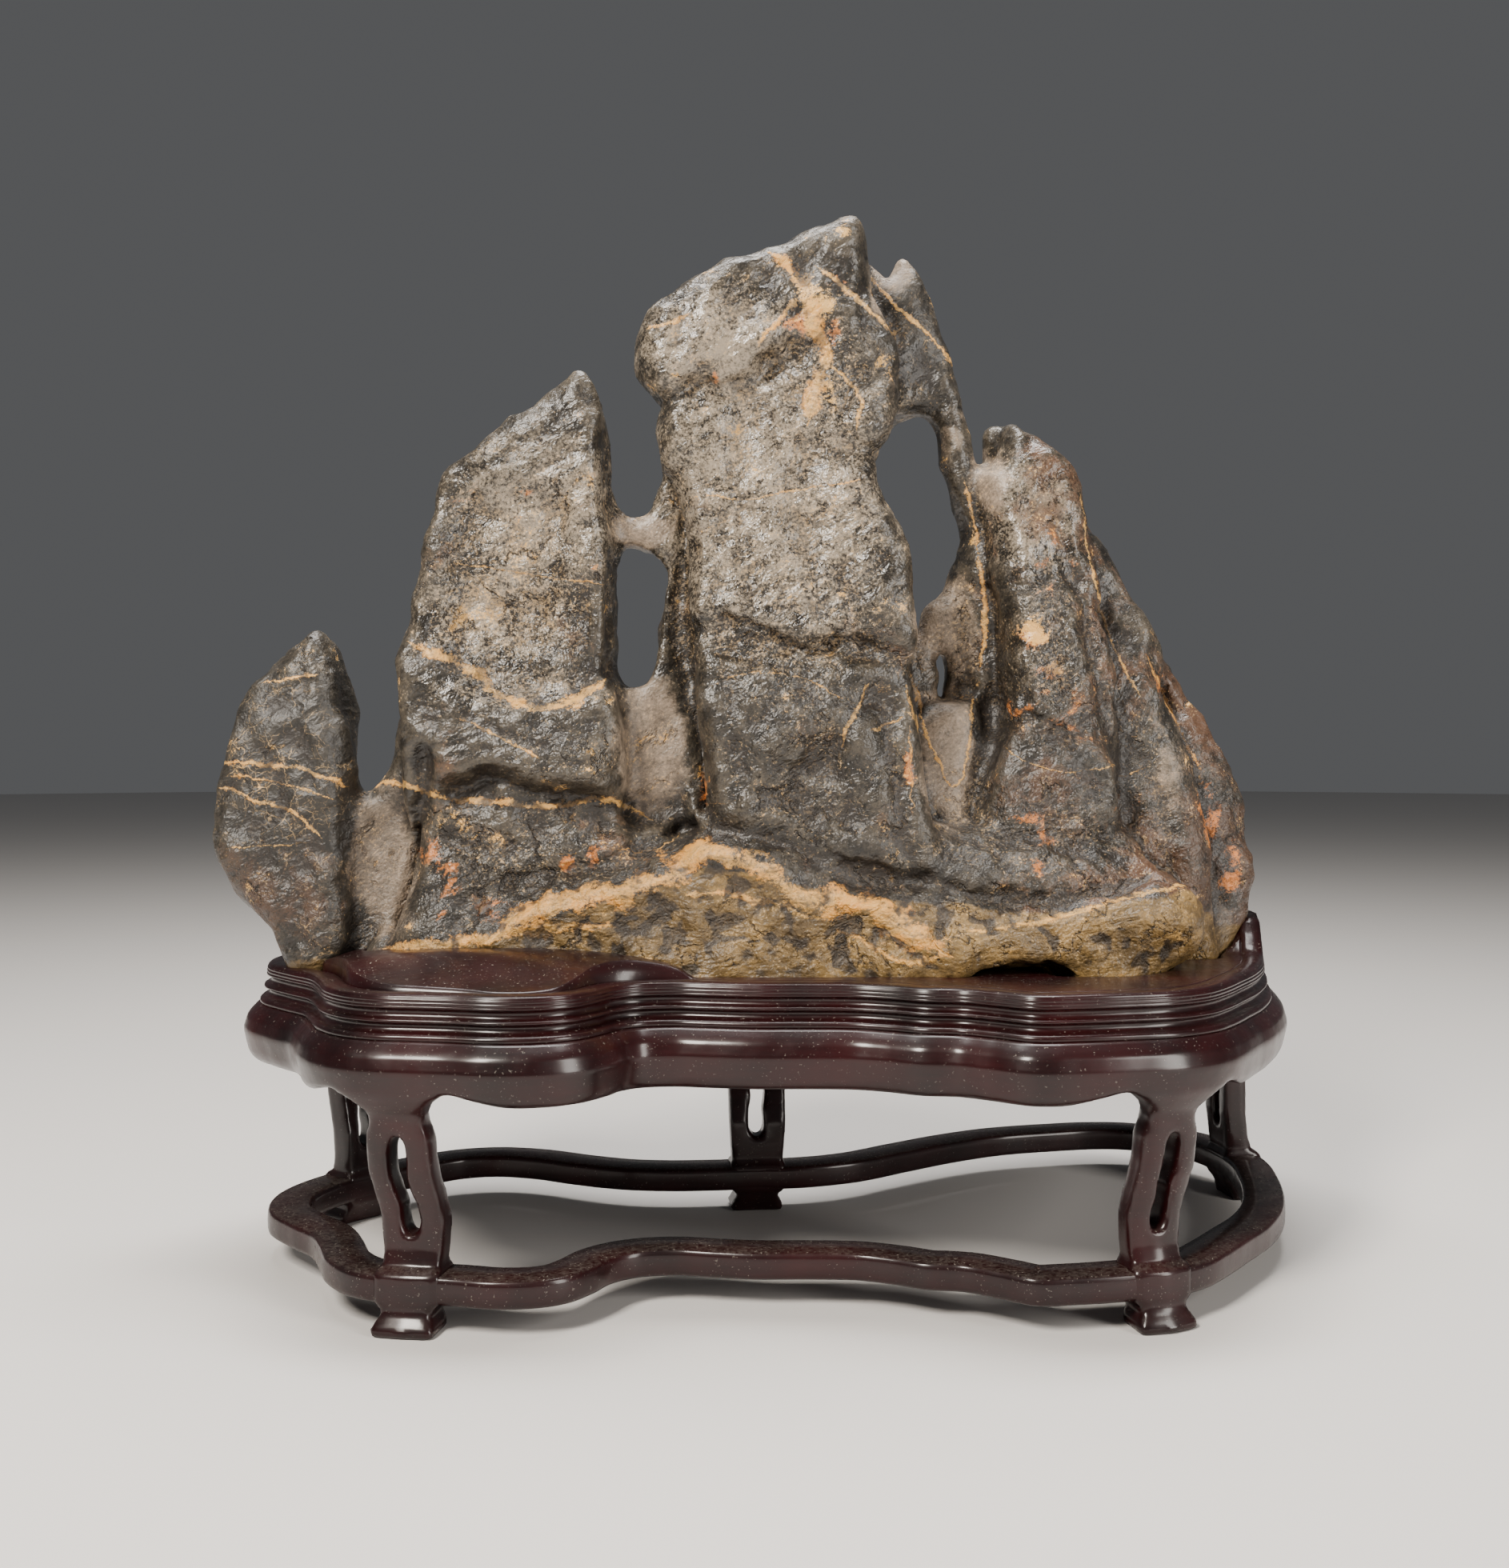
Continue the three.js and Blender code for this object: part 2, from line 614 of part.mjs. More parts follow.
// Height of the board's top inside its rim: the hill at the front left and the wall at the right end
function boardTop(x, y) {
  const across = clamp(1 - ((x - HILL.x) / HILL.halfWidth) ** 2, 0, 1);
  const hill = HILL.height * Math.sqrt(across) * smoothStep(HILL.front, HILL.back, y) * (y < 90 ? 1 : 0);
  const away = Math.hypot(x - END_WALL.x, y - END_WALL.y) / END_WALL.radius;
  return RIM_HEIGHT + hill + END_WALL.height * Math.exp(-away * away);
}

// Rows inside the rim: first at an offset, then drawn toward a line through the middle
const TOP_DRAWS = [0.15, 0.4];
const RIM_INNER = -9;
const CORE_LINE = { from: -110, to: 130, y: 95 };

function makeBoard() {
  const stations = OUTLINE.map((point) => plan.nearest(point));
  const loops = BOARD_MOULDING.map(([offset, height]) => (
    stations.map((s) => onOutline(s, offset, height))
  ));
  const inner = stations.map((s) => onOutline(s, RIM_INNER, RIM_HEIGHT));
  loops.push(inner);
  for (const draw of TOP_DRAWS) {
    loops.push(inner.map(([x, y]) => {
      const toX = clamp(x, CORE_LINE.from, CORE_LINE.to);
      const px = x + (toX - x) * draw;
      const py = y + (CORE_LINE.y - y) * draw;
      return [px, py, boardTop(px, py)];
    }));
  }
  return toGeometry(toSolid(loftLoops(loops)).subtract(socketCutter()));
}

// A leg: rows of points across the outline from the floor up to the board, cut through by its slot
const LEG_ACROSS = [-1, 0, 1];
const SLOT_SIDES = 10;

function makeLeg(s) {
  const loops = LEG_ROWS.map(([height, outer, thickness, half]) => [
    ...LEG_ACROSS.map((side) => onOutline(s + side * half, outer, height)),
    ...LEG_ACROSS.map((side) => onOutline(s - side * half, outer - thickness, height)),
  ]);
  const slotEdge = [];
  for (let turn = 0; turn < SLOT_SIDES; turn++) {
    const angle = (turn + 0.5) / SLOT_SIDES * 2 * Math.PI;
    const end = Math.sin(angle) > 0 ? SLOT_HIGH - SLOT_HALF : SLOT_LOW + SLOT_HALF;
    slotEdge.push([SLOT_HALF * Math.cos(angle), end + SLOT_HALF * Math.sin(angle)]);
  }
  const slot = loftLoops([-22, 8].map((offset) => (
    slotEdge.map(([side, height]) => onOutline(s + side, offset, height))
  )));
  return toGeometry(toSolid(loftLoops(loops)).subtract(toSolid(slot)));
}

// A stretch between two legs: the outline's own knots in it, and its two ends
function stationsBetween(from, to) {
  const step = plan.length / PLAN_SAMPLES;
  const inside = OUTLINE.map((point) => plan.nearest(point))
    .map((s) => (s < from ? s + plan.length : s))
    .filter((s) => s > from + 3 * step && s < to - 3 * step)
    .sort((a, b) => a - b);
  return [from, ...inside, to];
}

function makeApron(from, to) {
  const start = from + LEG_BLOCK_HALF + GAP;
  const end = to - LEG_BLOCK_HALF - GAP;
  return loftLoops(stationsBetween(start, end).map((s) => {
    const away = Math.min(s - start, end - s);
    const rise = APRON_CORNER_RISE * (1 - smoothStep(0, APRON_CORNER_REACH, away));
    return APRON_SECTION.map(([offset, height]) => (
      onOutline(s, offset, height === APRON_BOTTOM ? height + rise : height)
    ));
  }));
}

function makeRail(from, to) {
  const start = from + LEG_HALF + GAP;
  const end = to - LEG_HALF - GAP;
  const section = [[0, RAIL_BOTTOM], [0, RAIL_TOP], [-RAIL_WIDTH, RAIL_TOP], [-RAIL_WIDTH, RAIL_BOTTOM]];
  return loftLoops(stationsBetween(start, end).map((s) => (
    section.map(([offset, height]) => onOutline(s, offset, height))
  )));
}

// Materials and assembly
function material(color, roughness) {
  return new THREE.MeshStandardMaterial({ color, roughness, metalness: 0 });
}
const STONE_GREY = 0x58554f;
const LACQUER_RED = 0x2c0a0c;

const object = new THREE.Group();
object.name = 'scholar_stone_on_stand';

function add(name, geometry, color, roughness) {
  const mesh = new THREE.Mesh(geometry, material(color, roughness));
  mesh.name = name;
  mesh.position.set(-MIDDLE_X, -MIDDLE_Y, 0);
  object.add(mesh);
}

add('stone', makeStone(), STONE_GREY, 0.5);
add('board', makeBoard(), LACQUER_RED, 0.25);
const legNames = Object.keys(LEGS);
const legPlaces = legNames.map((name) => plan.nearest(LEGS[name]));
legNames.forEach((name, i) => {
  const from = legPlaces[i];
  const to = i + 1 < legPlaces.length ? legPlaces[i + 1] : legPlaces[0] + plan.length;
  const next = legNames[(i + 1) % legNames.length];
  add(`leg_${name}`, makeLeg(from), LACQUER_RED, 0.25);
  add(`apron_${name}_to_${next}`, makeApron(from, to), LACQUER_RED, 0.25);
  add(`rail_${name}_to_${next}`, makeRail(from, to), LACQUER_RED, 0.25);
});

export default object;
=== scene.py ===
"""Scholar's stone like a range of peaks on a carved, lacquered stand, dressed around its CAD frame."""

import math

import bmesh
import bpy
import numpy as np
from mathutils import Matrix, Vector, noise


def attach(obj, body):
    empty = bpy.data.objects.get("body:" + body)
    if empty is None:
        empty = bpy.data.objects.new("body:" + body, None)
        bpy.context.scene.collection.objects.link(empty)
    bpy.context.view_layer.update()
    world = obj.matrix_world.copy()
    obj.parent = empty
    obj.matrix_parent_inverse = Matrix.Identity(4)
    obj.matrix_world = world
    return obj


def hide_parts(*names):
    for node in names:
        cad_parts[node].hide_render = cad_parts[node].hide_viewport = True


bl_info = {
    "name": "Scholar Stone",
    "version": (1, 0, 0),
    "blender": (4, 5, 0),
    "location": "View3D > Sidebar > Stone",
    "description": "Makes a polished scholar's stone and its carved stand",
    "category": "Add Mesh",
}

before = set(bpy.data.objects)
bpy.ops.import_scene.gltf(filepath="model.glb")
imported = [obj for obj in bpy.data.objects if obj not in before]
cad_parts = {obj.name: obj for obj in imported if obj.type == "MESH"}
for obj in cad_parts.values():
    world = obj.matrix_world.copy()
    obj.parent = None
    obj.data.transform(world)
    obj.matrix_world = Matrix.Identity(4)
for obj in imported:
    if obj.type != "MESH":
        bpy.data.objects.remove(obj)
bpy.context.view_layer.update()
MM = 0.001

# Shapes are drawn in mm from the front line of the stretcher ring, and the object's middle is here
MIDDLE = np.array([9.0, 104.0, 0.0])
SOCKET_FLOOR = 98.0
STONE_FOOT = 98.3
RIM_HEIGHT = 107.0

# The photograph's eye: its height and how far it stands in front of the ring, then its focal length, axis
# and horizon in pixels, the photograph's size, and the plane near the stone's front on which lines are drawn
EYE_HEIGHT = 186.0
EYE_STAND_OFF = 500.0
EYE_PIXELS = 2000.0
AXIS_X = 943.0
HORIZON = 930.0
IMAGE_SIZE = (1886, 1960)
FRONT_PLANE = 55.0

# Slabs of the stone: the depth Y of their middle, how it leans with height, half their thickness at the
# foot and at the tip, the radius of their edges, and their outline in X and Z seen from the front
SLABS = {
    "left_blade": dict(depth=80, lean=0.05, half=(20, 11), round=7, outline=[
        (-159, 227), (-155.5, 221), (-152, 211), (-150, 200), (-148, 187), (-146.5, 170), (-146, 152),
        (-145, 130), (-147, 114), (-152, 105), (-159, 102), (-163, 106), (-170, 116), (-176, 125),
        (-184, 134), (-189, 146), (-191.5, 158), (-192, 169), (-191, 181), (-189, 192), (-184.5, 203),
        (-179, 210), (-172, 216), (-165, 222)]),
    "left_web": dict(depth=86, lean=0.02, half=(15, 8), round=7.5, outline=[
        (-152, 169), (-148, 168), (-143, 167), (-139, 169.5), (-135.5, 174), (-132.5, 180), (-131, 188),
        (-128.5, 196), (-124, 205), (-116, 208), (-112, 165), (-118, 104), (-155, 104)]),
    "left_peak": dict(depth=78, lean=0, half=(27, 15), round=6.5, outline=[
        (-62, 318.5), (-60, 317.5), (-58, 311.5), (-55.5, 303), (-54.5, 293), (-55, 281), (-54, 264),
        (-52, 244), (-51, 226), (-50, 203), (-49, 185), (-50, 174), (-55, 168), (-73, 168), (-102, 171),
        (-117, 168), (-122, 176), (-123.5, 190), (-123, 205), (-124.5, 217), (-122, 230), (-118.5, 245),
        (-115.5, 262), (-113, 275), (-109.5, 283), (-102, 289), (-94, 295.5), (-86, 300), (-80, 303),
        (-74, 308), (-67, 314)]),
    "left_foot": dict(depth=84, lean=-0.02, half=(34, 26), round=13, outline=[
        (-121, 178), (-88, 188), (-60, 184), (-48, 170), (-43, 152), (-36, 134), (-24, 120), (-14, 98),
        (-138, 98), (-131, 125), (-125, 150)]),
    "middle_web": dict(depth=85, lean=0, half=(12, 7), round=6, outline=[
        (-58, 288), (-54, 280), (-52, 274), (-49, 270.5), (-44, 269), (-39, 270.5), (-35.5, 275),
        (-33, 282), (-30, 289), (-20, 283), (-12, 224), (-12, 104), (-56, 104), (-60, 195)]),
    "middle_trough": dict(depth=85, lean=0.03, half=(16, 7), round=6, outline=[
        (-56, 200), (-44, 206), (-32, 203), (-20, 190), (-12, 150), (-8, 104), (-60, 104), (-58, 160)]),
    "main_column": dict(depth=78, lean=0.03, half=(33, 20), round=10, outline=[
        (33, 375), (36, 374), (38.5, 370), (40, 362), (42, 351), (48, 340), (53, 325), (52, 309),
        (47.5, 298), (44, 286), (44, 277), (49, 271), (53, 262), (55, 247), (55, 230), (57, 208),
        (59, 186), (63, 137), (64, 104), (-28, 104), (-23, 154), (-20.5, 180), (-22, 206), (-25, 227),
        (-26, 253), (-28, 270), (-32, 280), (-32, 289), (-34, 296), (-34, 303), (-32.5, 308), (-36, 314),
        (-40.5, 319), (-41.5, 325), (-40, 332), (-37, 338), (-30, 345), (-22, 352), (-14, 358),
        (-4, 361.5), (6, 364), (12, 368), (20, 370.5), (28, 372.5)]),
    "crest_shard": dict(depth=104, lean=0.02, half=(14, 9), round=8, outline=[
        (38, 371), (43, 368), (47, 364.5), (50, 362.5), (52, 365), (54, 369.5), (57, 370.5), (60, 367),
        (65, 358), (70, 346), (75, 332), (78, 320), (80.5, 310), (82.5, 299), (84.5, 287), (86, 274),
        (90, 255), (92, 231), (92, 207), (88, 195), (82, 201), (82, 225), (80, 246), (78, 264), (73, 278),
        (69, 290), (68, 302), (64, 309), (59, 310), (53, 307), (47, 301), (33, 305)]),
    "right_web": dict(depth=110, lean=0, half=(14, 7), round=6, outline=[
        (44, 238), (57, 232), (61, 229), (64, 238), (69, 242), (73, 246), (76, 258), (80, 268), (90, 271),
        (99, 250), (102, 190), (99, 104), (46, 104)]),
    "trough": dict(depth=92, lean=0.08, half=(28, 12), round=8, outline=[
        (60, 196), (70, 202), (80, 202), (88, 196), (96, 150), (100, 104), (52, 104), (56, 150)]),
    "right_peak": dict(depth=92, lean=0.06, half=(32, 14), round=11, outline=[
        (97, 306), (100, 304), (104, 300.5), (109, 297), (114, 293), (119.5, 287.5), (121.5, 279),
        (123, 268), (126, 251), (128, 236), (131, 221), (132, 210), (134, 189), (136, 165), (141, 136),
        (141, 104), (68, 104), (76, 136), (82, 159), (86, 181), (91, 201), (92, 224), (90, 245),
        (87.5, 263), (84.5, 275), (83.5, 287), (87.5, 289.5), (91, 292.5), (94, 299)]),
    "tooth": dict(depth=114, lean=0, half=(8, 5), round=3, outline=[
        (89.5, 305.5), (92, 306), (94, 304.5), (96, 301.5), (100, 299.5), (104, 280), (96, 262), (86, 280),
        (85.5, 290), (88.5, 292), (89, 297)]),
    "right_shoulder": dict(depth=116, lean=0.04, half=(30, 13), round=12, outline=[
        (114, 290), (119, 285), (124, 279), (129, 269), (135, 261), (141, 250), (146, 241), (151, 232),
        (157, 215), (160, 200), (163, 182), (167, 160), (170, 138), (172, 118), (172, 104), (120, 104),
        (118, 200)]),
    "right_wing": dict(depth=130, lean=0.02, half=(26, 11), round=10, outline=[
        (148, 241), (153, 233), (157, 230), (160, 222), (165, 214), (169, 205), (174.5, 199), (178.5, 190),
        (183, 182.5), (187, 173), (189.5, 162), (190, 151), (192, 142), (192, 132), (189, 122), (184, 111),
        (179, 102), (170, 100), (167, 112), (164, 130), (158, 150), (156, 190)]),
    "base": dict(depth=89.5, lean=-0.04, half=(45.5, 36), round=22, outline=[
        (-136, 112), (-122, 132), (-70, 150), (-20, 158), (60, 156), (120, 146), (152, 138), (161, 126),
        (155, 114), (142, 104), (138, 90), (-150, 90)]),
    "back_base": dict(depth=132, lean=-0.06, half=(40, 28), round=22, outline=[
        (62, 120), (72, 144), (100, 158), (146, 148), (165, 124), (150, 90), (60, 90)]),
    "back_left_ridge": dict(depth=113, lean=-0.05, half=(21, 9), round=9, outline=[
        (-92, 262), (-76, 240), (-66, 190), (-58, 104), (-118, 104), (-108, 190), (-102, 240)]),
    "back_middle_ridge": dict(depth=107, lean=-0.05, half=(28, 11), round=11, outline=[
        (6, 318), (24, 290), (34, 240), (42, 170), (50, 104), (-24, 104), (-14, 180), (-6, 260)]),
    "back_right_ridge": dict(depth=142, lean=-0.06, half=(26, 10), round=10, outline=[
        (118, 226), (134, 206), (152, 160), (166, 104), (74, 104), (92, 160), (104, 206)]),
}

# Openings right through the stone, as outlines in X and Z
HOLES = [
    [(-44, 258), (-40, 256.5), (-36, 254), (-33.5, 249), (-33, 243), (-34, 232), (-35, 222), (-37, 213),
     (-39, 208.5), (-43, 206.5), (-47, 208), (-50, 214), (-51, 224), (-52, 236), (-53, 246), (-52, 253),
     (-48, 257.5)],
    [(58, 310), (63, 309), (67, 304), (69, 297), (71, 287), (73, 279), (76, 272), (79, 265), (77.5, 257),
     (74, 250), (71, 244), (65, 240), (61, 234), (60, 226), (57, 230), (56, 246), (54, 258), (50, 268),
     (45, 274), (45, 288), (48, 298), (53, 306)],
    [(70, 221), (73, 219), (73.5, 213), (72, 206), (71, 203), (68.5, 204), (68, 212), (67, 217)],
]

# Low arch under the front of the foot: middle and radii
FOOT_ARCH = ((89.0, 44.0, 100.0), (23.0, 30.0, 11.0))
# How far slabs and holes blend into each other, where the front turns into the back along Y, how strong
# the front's relief is, and the value of the field where no slab is near
BLEND = 6.0
HOLE_BLEND = 4.0
FRONT_ENDS = (75.0, 105.0)
RELIEF_DEPTH = 1.35
OPEN_AIR = 60.0

# Lines of relief on the stone's front: width and depth in mm, height and reach of a ledge, and the line as
# the photograph's eye sees it. A negative depth is a rib, and a ledge overhangs on one side of its line.
FRONT_RELIEF = [
    (5, 3.2, 2.4, 16, [(880, 782), (920, 792), (960, 802), (1000, 814), (1050, 808), (1108, 816)]),
    (3.5, 2.6, 3.0, 14, [(570, 985), (620, 970), (665, 982), (700, 992), (732, 992)]),
    (5, 0.5, -2.6, 16, [(560, 826), (600, 850), (650, 878), (700, 876), (750, 850)]),
    (24, 2.6, 0, 0, [(640, 690), (655, 790)]),
    (13, -2.2, 0, 0, [(565, 925), (650, 940), (745, 925)]),
    (20, 1.8, 0, 0, [(1000, 500), (985, 640)]),
    (16, -1.8, 0, 0, [(930, 900), (1040, 905)]),
    (14, -2.0, 0, 0, [(880, 380), (930, 410), (1000, 400)]),
    (4, 3.5, 0, 0, [(844, 590), (856, 680), (846, 760), (858, 850), (876, 930), (884, 1010)]),
    (9, 0, -2.5, 14, [(402, 800), (414, 850), (426, 905), (432, 960), (430, 1060), (428, 1180)]),
    (4, 4, 0, 0, [(530, 950), (526, 1010), (516, 1060), (500, 1125), (484, 1185)]),
    (3.6, 4.0, 0, 0, [(1343, 640), (1355, 690), (1370, 740), (1383, 810), (1395, 870), (1410, 940),
        (1440, 1040)]),
    (3.6, 4, 0, 0, [(1425, 770), (1440, 810), (1462, 880), (1476, 920), (1490, 1000), (1500, 1100),
        (1512, 1150)]),
    (4, 4, 0, 0, [(1228, 600), (1238, 660), (1248, 720), (1254, 790), (1256, 870), (1240, 960),
        (1222, 1020)]),
    (3.5, 2.2, 1.0, 14, [(1180, 1106), (1240, 1118), (1300, 1122), (1370, 1114), (1420, 1106),
        (1500, 1098)]),
    (4.5, 3, 1.2, 16, [(640, 1100), (720, 1085), (800, 1070), (850, 1045), (900, 1036), (970, 1050),
        (1060, 1090), (1150, 1100)]),
    (4, 3, 2.8, 18, [(862, 470), (890, 462), (905, 480), (935, 472), (962, 446), (992, 430)]),
    (5, 2.5, 0, 0, [(1100, 455), (1070, 470), (1058, 500), (1070, 545)]),
    (5, 1.6, 1.5, 14, [(1004, 545), (1040, 560), (1090, 552)]),
    (6, 2, 0, 0, [(655, 1010), (700, 1016), (760, 1022)]),
    (6, 2.5, 0, 0, [(1085, 350), (1100, 392), (1118, 440), (1124, 500)]),
    (4.5, 2.5, 0, 0, [(1100, 880), (1118, 960), (1130, 1040), (1140, 1100)]),
    (6, 2.2, -1.5, 14, [(1075, 870), (1040, 930), (1010, 960), (985, 1000)]),
    (5, -2.2, 0, 0, [(620, 1172), (700, 1136), (790, 1112), (860, 1082), (890, 1066), (960, 1088),
        (1010, 1124), (1100, 1138), (1195, 1192)]),
    (9, -2.5, 0, 0, [(1200, 1176), (1280, 1168), (1380, 1150), (1480, 1130)]),
    (8, 1.8, 0, 0, [(560, 640), (585, 700), (560, 770)]),
    (7, 2.2, 0, 0, [(690, 640), (665, 720), (668, 800)]),
    (6, 1.6, 1.5, 14, [(600, 740), (640, 760), (700, 745)]),
    (4, -1.6, 0, 0, [(738, 520), (738, 600), (752, 700), (756, 800)]),
    (7, 1.8, 0, 0, [(905, 860), (915, 930), (900, 1010)]),
    (8, 1.8, 0, 0, [(1010, 850), (1022, 930), (1030, 1010)]),
    (9, 1.5, 0, 0, [(930, 520), (915, 600), (930, 700)]),
    (8, -2, 0, 0, [(1290, 660), (1300, 760), (1310, 860), (1320, 960)]),
    (5, 2, 1.8, 14, [(1255, 905), (1290, 900), (1340, 915), (1372, 900)]),
    (4, 2, 1.5, 12, [(1385, 1045), (1420, 1030), (1450, 1022)]),
    (5, -1.4, 0, 0, [(700, 540), (650, 580), (600, 600)]),
    (6, 2, 0, 0, [(550, 1040), (600, 1060), (670, 1050), (740, 1040)]),
]

# Narrow creases of the front: half width and depth in mm, and the line as the photograph's eye sees it
FRONT_CREASES = [
    (1.5, 3.2, [(890, 776), (927, 781), (960, 793), (987, 807), (1010, 813), (1033, 810), (1057, 803),
        (1080, 808), (1104, 816)]),
    (1.2, 2.2, [(895, 808), (920, 820), (943, 823), (967, 835), (992, 842)]),
    (1.0, 1.4, [(575, 985), (640, 978), (700, 996), (765, 990)]),
    (0.9, 1.1, [(590, 930), (640, 950), (700, 958), (740, 950)]),
    (0.9, 1.0, [(600, 905), (650, 925), (690, 932)]),
    (1.0, 1.3, [(1378, 1050), (1410, 1034), (1440, 1024)]),
    (1.0, 1.3, [(1262, 895), (1300, 900), (1345, 922)]),
    (0.9, 1.0, [(610, 745), (640, 765), (690, 752)]),
    (0.9, 1.0, [(560, 700), (590, 730), (585, 770)]),
    (0.9, 1.0, [(880, 470), (905, 482), (935, 474)]),
    (0.9, 1.0, [(1085, 870), (1070, 905), (1035, 935)]),
    (0.9, 1.1, [(1345, 660), (1368, 745), (1384, 830), (1402, 900)]),
    (0.9, 1.1, [(1440, 800), (1468, 880), (1490, 980), (1500, 1090)]),
    (0.8, 0.9, [(655, 1075), (720, 1062), (790, 1055), (860, 1035)]),
    (0.8, 0.9, [(1010, 1045), (1060, 1080), (1130, 1092)]),
    (0.8, 0.9, [(1190, 1118), (1260, 1126), (1340, 1122), (1420, 1112)]),
    (0.8, 0.9, [(880, 1180), (950, 1172), (1010, 1185)]),
    (0.8, 0.8, [(700, 1160), (780, 1150), (840, 1160)]),
    (0.8, 0.8, [(1090, 1160), (1120, 1176), (1150, 1196)]),
    (0.8, 0.8, [(1240, 1165), (1300, 1180), (1370, 1172)]),
]

# Where the front is rough, cracked or light grey (partly painted highlight): place and radii in pixels,
# strength
ROUGH_SPOTS = [
    (640, 740, 120, 120, 1.0), (1040, 480, 70, 90, 0.7), (960, 640, 150, 150, 0.4),
    (980, 810, 140, 50, 1.0), (1000, 960, 130, 130, 0.7), (700, 940, 70, 40, 0.7),
    (1320, 860, 90, 130, 0.7), (1300, 1050, 190, 80, 1.0), (650, 1090, 170, 60, 1.0),
    (1450, 1000, 60, 160, 0.8), (330, 1080, 70, 90, 0.6), (900, 1160, 520, 60, 1.0),
    (1350, 1160, 200, 60, 1.0), (1530, 1000, 40, 120, 0.8), (1180, 810, 50, 90, 0.8),
]
CRACKED_SPOTS = [
    (360, 980, 120, 190, 1.0), (400, 1170, 70, 60, 0.7), (1160, 430, 60, 90, 0.8),
    (700, 1150, 240, 60, 0.5), (1130, 1080, 120, 60, 0.6), (1300, 960, 160, 60, 0.4),
    (640, 560, 80, 50, 0.4), (1000, 900, 120, 80, 0.35), (1525, 1010, 55, 140, 0.7),
]
PALE_AND_LIT_SPOTS = [
    (670, 640, 130, 130, 1.1), (620, 760, 120, 90, 1.1), (960, 620, 190, 250, 1.1),
    (900, 430, 130, 90, 1.15), (1040, 520, 60, 60, 0.9), (1290, 650, 70, 90, 1.1),
    (1300, 800, 60, 90, 0.6), (640, 862, 130, 34, 0.9), (400, 830, 40, 30, 0.5), (1190, 430, 40, 90, 0.4),
    (960, 800, 150, 60, 0.7),
]

# Pixels from a line within which its distance is worked out, and the distance that is taken beyond them
LINE_REACH = 60.0
FAR_AWAY = 90.0

# Lines of relief on the stone's back, with the same numbers, in mm in X and Z
BACK_RELIEF = [
    (7, 5, 0, 0, [(-84, 290), (-78, 220), (-88, 150)]),
    (8, 6, 0, 0, [(20, 340), (6, 260), (18, 190), (4, 140)]),
    (7, 5, 0, 0, [(100, 270), (112, 190), (100, 140)]),
    (7, 5, 0, 0, [(-20, 176), (40, 186), (90, 172)]),
    (6, 3.5, 0, 0, [(-118, 200), (-90, 206), (-62, 196)]),
    (5, 3, 0, 0, [(-30, 250), (0, 258), (30, 250)]),
    (5, 3, 0, 0, [(120, 236), (140, 226), (160, 200)]),
    (6, 3.5, 0, 0, [(-150, 130), (-100, 140), (-50, 132), (20, 140), (80, 132), (150, 140)]),
    (6, -2, 0, 0, [(-170, 200), (-166, 160), (-160, 120)]),
]

